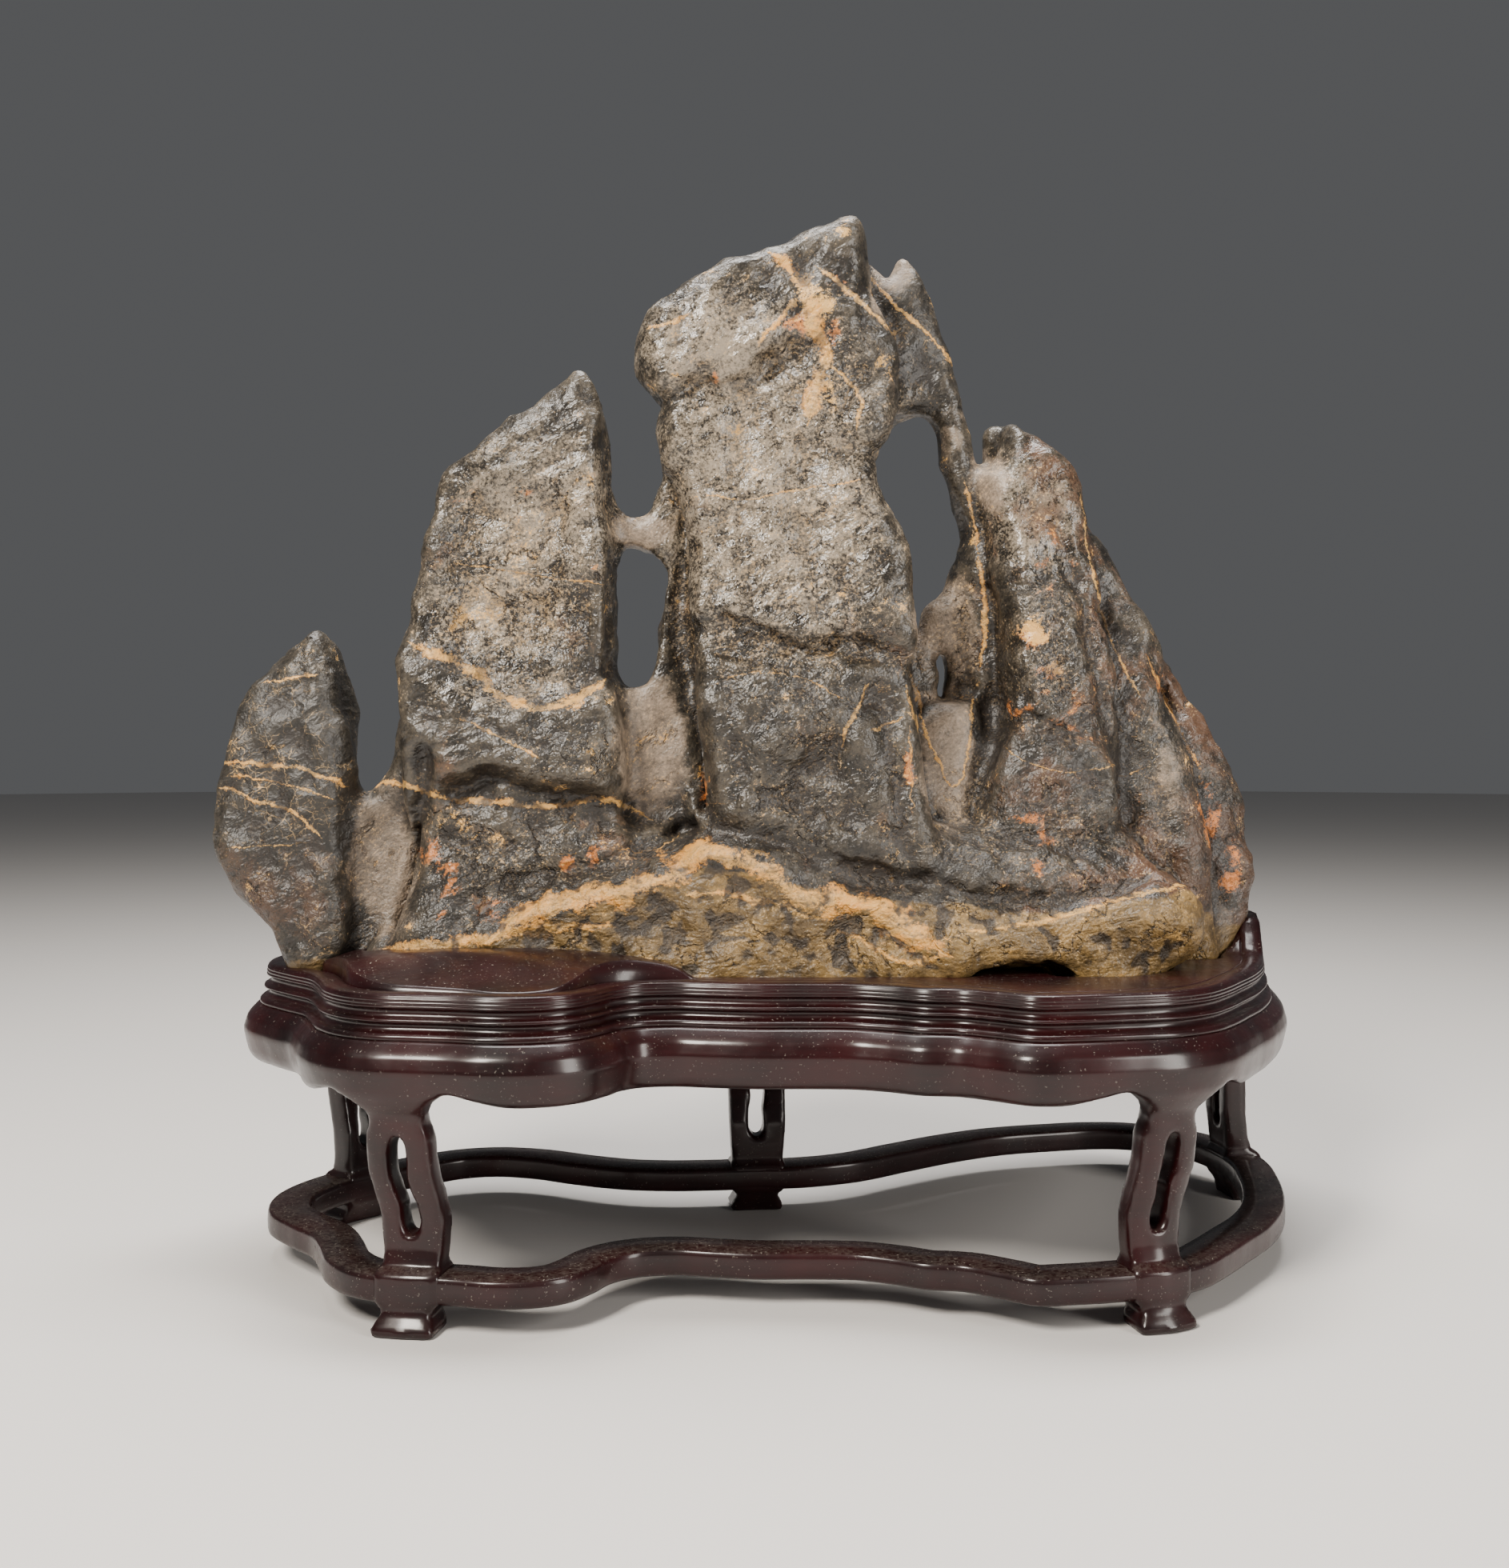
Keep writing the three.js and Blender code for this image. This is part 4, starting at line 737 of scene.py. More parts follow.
def frame_value(plan, s, w, z):
    """The apron and the five legs in one piece, as a function of length, offset and height"""
    rows = np.array(LEG_ROWS, float)
    outer = np.interp(z, rows[:, 0], rows[:, 1])
    thick = np.interp(z, rows[:, 0], rows[:, 2])
    leg_half = np.interp(z, rows[:, 0], rows[:, 3])
    away = np.full(np.shape(s), np.inf)
    slot = np.full(np.shape(s), np.inf)
    slot_ring = closed_curve(SLOT, 3)
    for name, point in LEGS.items():
        local = s - plan.nearest(point) - LEG_DRIFT.get(name, 0) * smooth_step(*DRIFT_HEIGHTS, z)
        local = np.mod(local + plan.length / 2, plan.length) - plan.length / 2
        away = np.minimum(away, np.abs(local))
        near = np.abs(local) < LEG_REACH
        found = ring_distance(np.where(near, local, LEG_REACH), z, slot_ring)
        slot = np.minimum(slot, np.where(near, found, LEG_REACH))
    ridge = LEG_RIDGE["height"] * np.clip(1 - away / LEG_REACH, 0, 1)
    ridge = ridge * smooth_step(LEG_RIDGE["ends"], LEG_RIDGE["full"], z)
    rise = APRON["rise"] * (1 - smooth_step(0, APRON["reach"], away - APRON["shoulder"]))
    front_view = smooth_min(away - leg_half, APRON["bottom"] + rise - z, CORNER)
    front_view = -smooth_min(-front_view, slot, SLOT_RIM)
    middle = outer + ridge - (thick + ridge) / 2
    depth = np.abs(w - middle) - (thick + ridge) / 2
    value = -smooth_min(-front_view, -depth, FRAME_EDGE)
    return np.maximum(value, np.maximum(z - FRAME_TOP, -z))


def make_carved_frame(plan, cell):
    """Vertices and quads of the apron with its legs"""
    count = int(round(plan.length / cell))
    step = np.array([plan.length / count, cell * FRAME_CELL[0], cell * FRAME_CELL[1]])
    low = np.array([0.0, FRAME_GRID["inner"], FRAME_GRID["low"]])
    s = np.arange(count) * step[0]
    w = np.arange(low[1], FRAME_GRID["outer"], step[1])
    z = np.arange(low[2], FRAME_GRID["high"], step[2])
    values = frame_value(plan, *np.meshgrid(s, w, z, indexing="ij"))
    vertices, quads = surface_net(values, low, step, is_loop=True)
    vertices[:, 2] = np.clip(vertices[:, 2], 0, FRAME_TOP)
    return plan.place(*vertices.T), quads[:, ::-1]


def panel_height(x, y):
    """Height of the board's top inside its moulded edge, with the raised lip and the end wall"""
    across = np.clip(1 - ((x - HILL["x"]) / HILL["half_width"]) ** 2, 0, 1)
    hill = HILL["height"] * np.sqrt(across) * smooth_step(HILL["front"], HILL["full"], y)
    return RIM_HEIGHT + hill * (y < HILL["back"]) + end_wall(x, y)


def end_wall(x, y):
    """Height above the rim of the rippled wall at the right end"""
    away = np.hypot(x - END_WALL["x"], y - END_WALL["y"]) / END_WALL["radius"]
    return (END_WALL["height"] + END_WALL["ripple"] * np.sin(y * END_WALL["wave"])) * np.exp(-away ** 4)


def raise_end(piece):
    """Lifts the top of the board's edge into the wall at its right end"""
    places = np.empty(len(piece.data.vertices) * 3)
    piece.data.vertices.foreach_get("co", places)
    points = places.reshape(-1, 3) / MM + MIDDLE
    share = smooth_step(RIM_HEIGHT - END_WALL["foot"], RIM_HEIGHT, points[:, 2])
    points[:, 2] += end_wall(points[:, 0], points[:, 1]) * share
    piece.data.vertices.foreach_set("co", ((points - MIDDLE) * MM).ravel())


def make_panel(plan, field, stations, rows):
    """Vertices and faces of the board's body, with the socket that the stone sits in"""
    s = np.arange(stations) * plan.length / stations
    loops = [plan.place(s, PANEL_EDGE, height) for height in (BOARD_BOTTOM, RIM_HEIGHT - PANEL_ROUND)]
    inner = plan.place(s, PANEL_EDGE - PANEL_ROUND, RIM_HEIGHT)
    start, end, core_y = CORE_LINE
    target = np.column_stack([np.clip(inner[:, 0], start, end), np.full(stations, core_y)])
    for draw in np.linspace(0, LAST_DRAW, rows):
        flat = inner[:, :2] + (target - inner[:, :2]) * draw
        height = panel_height(flat[:, 0], flat[:, 1])
        wall = smooth_step(*SOCKET_WALL, field.value(flat[:, 0], flat[:, 1], height))
        loops.append(np.column_stack([flat, SOCKET_FLOOR + (height - SOCKET_FLOOR) * wall]))
    vertices = np.concatenate(loops)
    faces = []
    for row in range(len(loops) - 1):
        for i in range(stations):
            a, b = row * stations + i, row * stations + (i + 1) % stations
            faces.append((a, b, b + stations, a + stations))
    faces.append(tuple(range(stations))[::-1])
    faces.append(tuple(range((len(loops) - 1) * stations, len(loops) * stations)))
    return vertices, faces


def closed_path(name, points):
    """A closed curve object through points"""
    data = bpy.data.curves.new(name, "CURVE")
    data.dimensions = "3D"
    data.twist_mode = "Z_UP"
    spline = data.splines.new("POLY")
    spline.points.add(len(points) - 1)
    for point, place in zip(spline.points, points):
        point.co = (*place, 1)
    spline.use_cyclic_u = True
    return add_object(name, data)


def sweep_tree():
    """Node tree that sweeps a closed section along the path it is put on"""
    tree = bpy.data.node_groups.new("Sweep Section", "GeometryNodeTree")
    for name, kind in (("Geometry", "Geometry"), ("Section", "Object"), ("Material", "Material")):
        tree.interface.new_socket(name, in_out="INPUT", socket_type="NodeSocket" + kind)
    tree.interface.new_socket("Geometry", in_out="OUTPUT", socket_type="NodeSocketGeometry")
    entry, leave = (tree.nodes.new("NodeGroup" + kind) for kind in ("Input", "Output"))
    section, upright, sweep, realize, finish = (
        tree.nodes.new("GeometryNode" + kind)
        for kind in ("ObjectInfo", "SetCurveNormal", "CurveToMesh", "RealizeInstances", "SetMaterial"))
    upright.mode = "Z_UP"
    for source, output, target, socket in (
            (entry, "Section", section, "Object"),
            (entry, "Geometry", upright, "Curve"),
            (upright, "Curve", sweep, "Curve"),
            (section, "Geometry", sweep, "Profile Curve"),
            (sweep, "Mesh", realize, "Geometry"),
            (realize, "Geometry", finish, "Geometry"),
            (entry, "Material", finish, "Material"),
            (finish, "Geometry", leave, "Geometry")):
        tree.links.new(source.outputs[output], target.inputs[socket])
    return tree


def evaluated_mesh(piece):
    """A new mesh with what an object's modifiers make of it"""
    return bpy.data.meshes.new_from_object(piece.evaluated_get(bpy.context.evaluated_depsgraph_get()))


def swept(name, plan, section, level, finish):
    """A piece with one section all round the stand's outline, made by the sweep tree"""
    middle_height = sum(height for _, height in section) / len(section)
    s = np.arange(PLAN_SAMPLES) * plan.length / PLAN_SAMPLES
    path = (plan.place(s, 0.0, level) - MIDDLE) * MM
    path[:, 2] = middle_height * MM
    route = closed_path(name + "_path", path)
    outline = closed_path(name + "_section", [
        (offset * MM, (middle_height - height) * MM, 0) for offset, height in section])
    tree = bpy.data.node_groups.get("Sweep Section") or sweep_tree()
    modifier = route.modifiers.new("Sweep", "NODES")
    modifier.node_group = tree
    sockets = {item.name: item.identifier for item in tree.interface.items_tree if item.in_out == "INPUT"}
    modifier[sockets["Section"]] = outline
    modifier[sockets["Material"]] = finish
    mesh = evaluated_mesh(route)
    mesh.name = name
    route.modifiers.remove(modifier)
    for helper in (route, outline):
        data = helper.data
        bpy.data.objects.remove(helper)
        bpy.data.curves.remove(data)
    work = bmesh.new()
    work.from_mesh(mesh)
    bmesh.ops.remove_doubles(work, verts=work.verts, dist=1e-6)
    bmesh.ops.recalc_face_normals(work, faces=work.faces)
    work.to_mesh(mesh)
    work.free()
    smooth_faces(mesh)
    return add_object(name, mesh)


class Wire:
    """A node's output that Python's operators work on, adding Math nodes"""

    def __init__(self, look, socket):
        self.look = look
        self.socket = socket

    def math(self, operation, *others, swap=False, clamp=False):
        values = (*others, self) if swap else (self, *others)
        settings = dict(operation=operation, use_clamp=clamp)
        return self.look.out(self.look.node("ShaderNodeMath", settings, dict(enumerate(values))))

    def __add__(self, other):
        return self.math("ADD", other)

    __radd__ = __add__

    def __mul__(self, other):
        return self.math("MULTIPLY", other)

    def __sub__(self, other):
        return self.math("SUBTRACT", other)

    def __rsub__(self, other):
        return self.math("SUBTRACT", other, swap=True)

    def __truediv__(self, other):
        return self.math("DIVIDE", other)

    def __abs__(self):
        return self.math("ABSOLUTE")

    def clamped(self):
        return self.math("ADD", 0.0, clamp=True)

    def between(self, low, high):
        """0 below low, 1 above high and a smooth rise between them"""
        node = self.look.node("ShaderNodeMapRange", dict(interpolation_type="SMOOTHSTEP"),
                              {"Value": self, "From Min": low, "From Max": high})
        return self.look.out(node, "Result")


class Look:
    """A material in the making"""

    def __init__(self, name):
        self.material = bpy.data.materials.new(name)
        self.material.use_nodes = True
        self.tree = self.material.node_tree
        self.tree.nodes.clear()

    def node(self, kind, settings=None, sockets=None):
        """A node of a type, with its settings and then the values or links of its sockets"""
        made = self.tree.nodes.new(kind)
        for name, value in (settings or {}).items():
            setattr(made, name, value)
        for name, value in (sockets or {}).items():
            if isinstance(value, Wire):
                self.tree.links.new(value.socket, made.inputs[name])
            elif value is not None:
                made.inputs[name].default_value = value
        return made

    def out(self, node, name=0):
        return Wire(self, node.outputs[name])

    def place(self):
        """Object coordinates in millimetres"""
        coordinates = self.node("ShaderNodeTexCoord")
        mapping = self.node("ShaderNodeMapping", None, {
            "Vector": self.out(coordinates, "Object"), "Scale": (1 / MM, 1 / MM, 1 / MM)})
        return self.out(mapping)

    def stretched(self, place, stretch, tilt=0.0):
        """A place tilted sideways, in radians, along which patterns then stretch so many times"""
        turned = self.node(
            "ShaderNodeVectorRotate", dict(rotation_type="Y_AXIS"), {"Vector": place, "Angle": tilt})
        return self.vector("MULTIPLY", self.out(turned), tuple(1 / part for part in stretch))

    def vector(self, operation, *values):
        """Vector maths on wires and triples"""
        node = self.node("ShaderNodeVectorMath", dict(operation=operation), dict(enumerate(values)))
        return self.out(node)

    def cloud(self, place, size, detail=4.0, rough=0.55, distort=0.0):
        """Noise from 0 to 1 with features of a size in mm"""
        node = self.node("ShaderNodeTexNoise", None, {
            "Vector": place, "Scale": 1 / size, "Detail": detail, "Roughness": rough, "Distortion": distort})
        return self.out(node)

    def sway(self, place, size, detail=4.0, rough=0.6, distort=0.0):
        """Noise that swings about zero, mostly from -1 to 1, with features of a size in mm"""
        return self.cloud(place, size, detail, rough, distort) * 6.0 - 3.0

    def cells(self, place, size, feature="F1"):
        """Distance to the middle, or with another feature to the edge, of cells of a size in mm"""
        node = self.node("ShaderNodeTexVoronoi", dict(feature=feature), {"Vector": place, "Scale": 1 / size})
        return self.out(node, "Distance")

    def bent(self, place, size, amount):
        """A place moved by up to about half an amount in mm, in swirls of a size in mm"""
        swirls = self.node("ShaderNodeTexNoise", None, {"Vector": place, "Scale": 1 / size, "Detail": 3.0})
        shift = self.vector("SUBTRACT", self.out(swirls, "Color"), (0.5, 0.5, 0.5))
        return self.vector("MULTIPLY_ADD", shift, (amount, amount, amount), place)

    def attribute(self, name):
        """The three numbers of a vector attribute"""
        return self.parts(self.out(self.node("ShaderNodeAttribute", dict(attribute_name=name)), "Vector"))

    def parts(self, vector):
        """The three numbers of a vector"""
        node = self.node("ShaderNodeSeparateXYZ", None, {0: vector})
        return [self.out(node, axis) for axis in range(3)]

    def blend(self, factor, *pair):
        """A colour between two, each a colour or a wire"""
        first, second = (part if isinstance(part, Wire) else solid(part) for part in pair)
        node = self.node("ShaderNodeMix", dict(data_type="RGBA"), {0: factor, 6: first, 7: second})
        return self.out(node, 2)

    def finish(self, color, roughness, height, **constants):
        """The material with a colour, a roughness and a relief in mm"""
        bump = self.node("ShaderNodeBump", None, {"Height": height, "Distance": MM, "Strength": 1.0})
        shader = self.node("ShaderNodeBsdfPrincipled", None, {
            "Base Color": color, "Roughness": roughness, "Normal": self.out(bump)})
        for name, value in constants.items():
            shader.inputs[name.replace("_", " ")].default_value = value
        self.node("ShaderNodeOutputMaterial", None, {"Surface": self.out(shader)})
        return self.material


def solid(color):
    """A colour with full alpha, as sockets want it"""
    return (*color, 1.0)


def stone_finish(colors):
    """Hand-polished dark limestone with cream and ochre veins. Its masks are weighted sums of noises and of
    what is painted on the vertices, and the weights are chosen one by one."""
    look = Look("polished_limestone")
    place = look.place()
    rough, cracked, pale_and_lit = look.attribute("wear_and_highlight")
    band, hollow, red = look.attribute("ground")
    # Its third part marks the bare webs, whose colour is partly painted light
    orange, cream, web = look.attribute("stain")
    swirl = look.bent(place, 30, 16)
    fibre = look.stretched(swirl, (1.7, 1.7, 0.9), 0.5)
    beds = look.stretched(swirl, (3.4, 3.4, 0.9))
    broad = look.sway(place, 40, 4, 0.6)
    mottle = look.sway(place, 14, 8, 0.7, 0.4)
    dents = look.sway(fibre, 5, 6, 0.66, 0.3)
    striae = look.sway(fibre, 1.5, 4, 0.7)
    bedding = look.sway(beds, 1.4, 5, 0.66)
    grain = look.sway(place, 1.05, 4, 0.75)
    lines = striae * (1 - band) + bedding * band
    cleft = (1 - abs(look.sway(swirl, 19, 5, 0.6)) * 6).clamped() * (mottle + rough * 0.6).between(0.2, 0.9)

    # Hollows lean a little toward slate here, as painted shade
    greyer = (dents * 0.4 + mottle * 0.4 + grain * 0.35 - hollow * 0.3).between(-0.5, 0.9)
    # The light grey wash is partly the stone's own paler grey and partly painted highlight, the wet sheen of
    # the lit upper faces
    washed_and_lit = (pale_and_lit * 1.1 + mottle * 0.22 + dents * 0.38 + grain * 0.5 - 0.55).between(0.0, 1.0)
    brown = (red * 1.1 + broad * 0.7 + mottle * 0.7 + grain * 0.3 - 0.5).between(0.0, 1.0)
    web_mask = (web + mottle * 0.3).between(0.3, 0.7)
    band_mask = (band + mottle * 0.3).between(0.3, 0.7)
    lighter = (bedding * 0.2 + mottle * 0.6 + grain * 0.15).between(-0.5, 0.6)
    dusty = rough * 0.4 - cracked * 0.4 + hollow * 0.4 + web * 0.1 + pale_and_lit * 0.25 + mottle * 0.3
    sand = (dusty + grain * 1.0 + lines * 0.45 - 0.6).between(0.0, 1.1)
    # Painted shade in the clefts, which are also cut into the relief as grooves
    cleft_shade = cleft * 1.6 - lines * 0.45 - grain * 0.7 - dents * 0.35 - web * 1.0 - band * 0.3
    rust = (orange * 1.4 + dents * 0.6 + mottle * 0.6 + grain * 0.3 - 0.8).between(0.0, 0.6)
    stain = (cream * 1.2 + mottle * 0.8 + dents * 0.5 + grain * 0.4 - 0.75).between(0.0, 0.5)
    net = 1 - look.cells(look.bent(place, 9, 12), 12, "DISTANCE_TO_EDGE").between(0.0, 0.02)
    fine_net = 1 - look.cells(look.bent(place, 4, 6), 5, "DISTANCE_TO_EDGE").between(0.0, 0.035)
    broken = (cracked * 0.9 + mottle * 0.7 + grain * 0.4 - 0.45).between(0.0, 0.8)

    color = look.blend(greyer, colors.slate, colors.grey)
    for mask, tint in (
            # light grey wash, partly painted highlight
            (washed_and_lit * 0.76, colors.pale_and_lit),
            (brown * 0.8, colors.brown),
            # bare webs: partly the stone's colour, partly painted light in the recesses
            (web_mask * (0.65 + grain * 0.2 + striae * 0.25).clamped(), colors.hollow),
            (band_mask * 0.9, look.blend(lighter, colors.olive_dark, colors.olive)),
            (cracked * 0.7, colors.slate),
            (sand * 0.85, colors.sand),
            # painted shade in the clefts
            ((cleft_shade - 0.4).between(0.0, 0.8) * 0.85, colors.painted_shade),
            (rust * 0.85, colors.orange),
            (stain * 0.85, colors.cream),
            (net.math("MAXIMUM", fine_net * 0.5) * broken * 0.6, colors.sand)):
        color = look.blend(mask, color, tint)

    thick = look.sway(place, 9, 4, 0.6)
    warp = look.sway(place, 7, 6, 0.68)
    fray = grain * 0.45 + lines * 0.2
    veins = None
    for group in range(3):
        away, half, warm = look.attribute(f"vein_{group}")
        width = half * (thick * 0.45 + 0.9) + fray * (half * 0.5 + 0.35)
        off = abs(away + warp * (half * 0.45 + 0.45))
        line = ((width - off) / (half * 0.4 + 0.3)).between(0.0, 1.0) * half.between(0.02, 0.12)
        line = line * (0.8 + mottle * 0.6 + fray * 0.7).clamped()
        ochre = (warm + mottle * 0.6 + grain * 0.3 + (off / (half + 0.3) - 0.5) * 0.6).clamped()
        tint = look.blend(ochre, colors.cream, colors.ochre)
        shadow = (-0.2 - bedding - mottle * 0.6).between(0.0, 1.0) * half.between(1.5, 4.0)
        tint = look.blend(shadow * 0.7, tint, colors.olive_dark)
        color = look.blend(line * 0.95, color, tint)
        veins = line if veins is None else veins.math("MAXIMUM", line)
    # Painted shade: the colour turns to the painted-shade colour in the stone's hollows and creases, less on
    # the light grey places and the bare webs
    color = look.blend(hollow.between(0.0, 0.6) * (0.85 - web * 0.6 - pale_and_lit * 0.4), color, colors.painted_shade)

    matt = (sand * 0.5 + web_mask * 0.4 + band_mask * 0.25 + hollow.between(0.0, 0.6) * 0.3).clamped()
    gloss = (0.39 + cracked * 0.12 + matt * 0.22 + grain * 0.04 + mottle * 0.06 - pale_and_lit * 0.12).clamped()
    knocks = look.sway(fibre, 6.5, 2, 0.4, 0.3)
    wrinkles = look.sway(fibre, 2.4, 1, 0.5, 0.6)
    beds_relief = look.sway(beds, 1.8, 1, 0.5)
    pitting = look.sway(place, 0.9, 1, 0.5)
    scallops = look.cells(look.bent(look.stretched(place, (1.0, 1.0, 0.7), 0.5), 8, 8), 6.5)
    height = knocks * (0.14 - web * 0.1) + wrinkles * (0.05 + rough * 0.1 - web * 0.03)
    height = height + beds_relief * band * 0.1 + scallops * (0.75 - web * 0.7 - band * 0.2)
    height = height + pitting * (0.03 + rough * 0.04) - cleft * 0.6 + veins * 0.12
    return look.finish(color, gloss, height, Specular_IOR_Level=0.5)


def lacquer_finish(colors):
    """Dark red-brown lacquer over close-grained wood, with dust in its grooves"""
    look = Look("red_lacquer")
    place = look.place()
    grain = look.cloud(look.stretched(place, (14, 14, 1)), 1.3, 4, 0.6, 0.3)
    broad = look.sway(place, 26, 3, 0.5)
    worn = look.sway(place, 9, 5, 0.65, 0.5)
    color = look.blend((grain * 0.6 + 0.2 + broad * 0.35).clamped(), colors.lacquer_dark, colors.lacquer)
    normal = look.out(look.node("ShaderNodeNewGeometry"), "Normal")
    upward = look.parts(normal)[2].between(0.45, 0.98)
    low_down = look.parts(place)[2].between(40.0, 20.0)
    specks = look.cloud(place, 0.8, 1, 0.5).between(0.68, 0.75)
    film = look.cloud(place, 1.2, 3, 0.7).between(0.3, 0.72) * (0.006 + low_down * (0.18 + worn * 0.08))
    dust = (upward * (specks * 0.5 + film) + specks * (worn + 0.6).between(0.0, 1.0) * 0.4).clamped()
    color = look.blend(dust, color, colors.dust)
    rough = 0.42 + dust * 0.4 + worn * 0.03 + low_down * 0.12
    height = look.sway(place, 14, 1, 0.4) * 0.25 + look.sway(place, 3.5, 1, 0.4) * 0.02
    return look.finish(
        color, rough.clamped(), height, Specular_IOR_Level=0.12, Coat_Weight=0.6, Coat_Roughness=0.2)


def line_distances(px, py, line):
    """Signed distance in pixels to a line, and how far along it the nearest point is, from 0 to 1"""
    line = open_curve(line, 4)
    low, high = line.min(axis=0) - LINE_REACH, line.max(axis=0) + LINE_REACH
    near = (px > low[0]) & (px < high[0]) & (py > low[1]) & (py < high[1])
    x, y = px[near], py[near]
    lengths = [math.dist(a, b) for a, b in zip(line[:-1], line[1:])]
    nearest = np.full(x.shape, FAR_AWAY)
    side, along = np.ones(x.shape), np.zeros(x.shape)
    run = 0.0
    for a, b, length in zip(line[:-1], line[1:], lengths):
        away, t = segment_distance(x, y, a, b)
        over = (b[0] - a[0]) * (y - a[1]) - (b[1] - a[1]) * (x - a[0])
        closer = away < nearest
        side = np.where(closer, np.where(over < 0, -1.0, 1.0), side)
        along = np.where(closer, (run + t * length) / sum(lengths), along)
        nearest = np.minimum(nearest, away)
        run += length
    signed, place = np.full(px.shape, FAR_AWAY), np.zeros(px.shape)
    signed[near], place[near] = nearest * side, along
    return signed, place


def spots(px, py, places):
    """Soft spots, each with its place and radii in pixels and its strength"""
    total = np.zeros(px.shape)
    for cx, cy, rx, ry, strength in places:
        spot = strength * np.exp(-(((px - cx) / rx) ** 2 + ((py - cy) / ry) ** 2) ** 1.5)
        np.maximum(total, spot, out=total)
    return total


def view_of(points):
    """Where the photograph's eye sees points, and for the back the same sheets of vein, tilted"""
    x, y, z = points.T
    px, py = seen_by_eye(x, y, z)
    return px, py + smooth_step(*FRONT_ENDS, y) * VEIN_TILT * np.sin(x * VEIN_WAVE + 1.0)


def paint_stone(mesh, points, hollow):
    """Writes where veins, stains, worn places, hollows and light grey places (partly painted highlight) lie,
    as attributes of the vertices
    """
    px, py = view_of(points)
    to_mm = (EYE_STAND_OFF + points[:, 1]) / EYE_PIXELS
    for group in range(3):
        nearest = np.full(px.shape, FAR_AWAY)
        half, warm = np.zeros(px.shape), np.zeros(px.shape)
        for vein_group, vein_half, vein_warm, line in VEINS.values():
            if vein_group != group:
                continue
            away, along = line_distances(px, py, line)
            away = away * to_mm
            closer = np.abs(away) < np.abs(nearest)
            fade = smooth_step(2.5 * vein_half + 4.0, 1.5 * vein_half + 2.0, np.abs(away))
            nearest = np.where(closer, away, nearest)
            half = np.where(closer, vein_half * tapered(along, 0.1) * fade, half)
            warm = np.where(closer, vein_warm, warm)
        write_vectors(mesh, f"vein_{group}", nearest, half, warm)
    for name, tables in (
            ("stain", (ORANGE_STAINS, CREAM_STAINS, BARE_LIT_WEBS)),
            ("wear_and_highlight", (ROUGH_SPOTS, CRACKED_SPOTS, PALE_AND_LIT_SPOTS))):
        write_vectors(mesh, name, *(spots(px, py, places) for places in tables))
    line_x, line_y = np.array(BAND_LINE, float).T
    band = smooth_step(-BAND_SOFTNESS, BAND_SOFTNESS, py - np.interp(px, line_x, line_y))
    red = sum(smooth_step(first, last, px) * strength for first, last, strength in (WARM_RIGHT, WARM_WING))
    across, down, strength = WARM_LOW_LEFT
    red = red + smooth_step(*across, px) * smooth_step(*down, py) * strength
    write_vectors(mesh, "ground", band, hollow, red)


def write_vectors(mesh, name, *parts):
    """Writes three numbers for each vertex as an attribute"""
    attribute = mesh.attributes.new(name, "FLOAT_VECTOR", "POINT")
    attribute.data.foreach_set("vector", np.column_stack(parts).astype(np.float32).ravel())


def hollow_of(points, quads, normals, rounds):
    """How far in mm each vertex lies below the smoothed surface, negative on ridges"""
    pairs = np.concatenate([quads[:, [0, 1]], quads[:, [1, 2]], quads[:, [2, 3]], quads[:, [3, 0]]])
    pairs = np.concatenate([pairs, pairs[:, ::-1]])
    count = np.bincount(pairs[:, 0], minlength=len(points))[:, None]

    def mean_around(values):
        total = np.stack([np.bincount(pairs[:, 0], values[pairs[:, 1], axis], len(points))
                          for axis in range(values.shape[1])], axis=1)
        return total / count

    smooth = points
    for _ in range(rounds):
        smooth = mean_around(smooth)
    return ((smooth - points) * normals).sum(axis=1)


def weathering(points):
    """How far weather and polishing moved each point of the stone outward, in mm"""
    seen = view_of(points)
    rough, bare = spots(*seen, ROUGH_SPOTS), spots(*seen, BARE_LIT_WEBS)
    moved = np.zeros(len(points))
    for i, (x, y, z) in enumerate(points):
        # The places are divided by each noise's size in mm, and moved so that no two noises are alike
        bend = noise.noise(Vector((x / 15, y / 15 + 5, z / 15))) * 7
        sag = noise.noise(Vector((x / 15 + 9, y / 15, z / 15))) * 7
        waves = noise.noise(Vector((x / 28, y / 28, z / 44)))
        lumps = noise.noise(Vector((x / 9 + 7, y / 9, z / 13)))
        large, _ = noise.voronoi(Vector(((x + bend) / 15, y / 15, (z + sag) / 21)))
        small, _ = noise.voronoi(Vector(((x + sag) / 6.5 + 30, y / 6.5, (z + bend) / 8)))
        wrinkle = 1 - abs(noise.noise(Vector(((x + bend) / 7, y / 7, (z - sag) / 7 + 40)))) * 2
        fine = noise.fractal(Vector((x / 4, y / 4, z / 5 + 31)), 0.7, 2.1, 3)
        worn = 2.6 * waves + 1.2 * lumps + 3.2 * (large[0] - 0.45) + 0.9 * (small[0] - 0.4)
        moved[i] = worn + (0.2 + rough[i]) * (0.6 * (wrinkle - 0.6) + 0.45 * fine)
    return moved * (1 - 0.6 * bare)


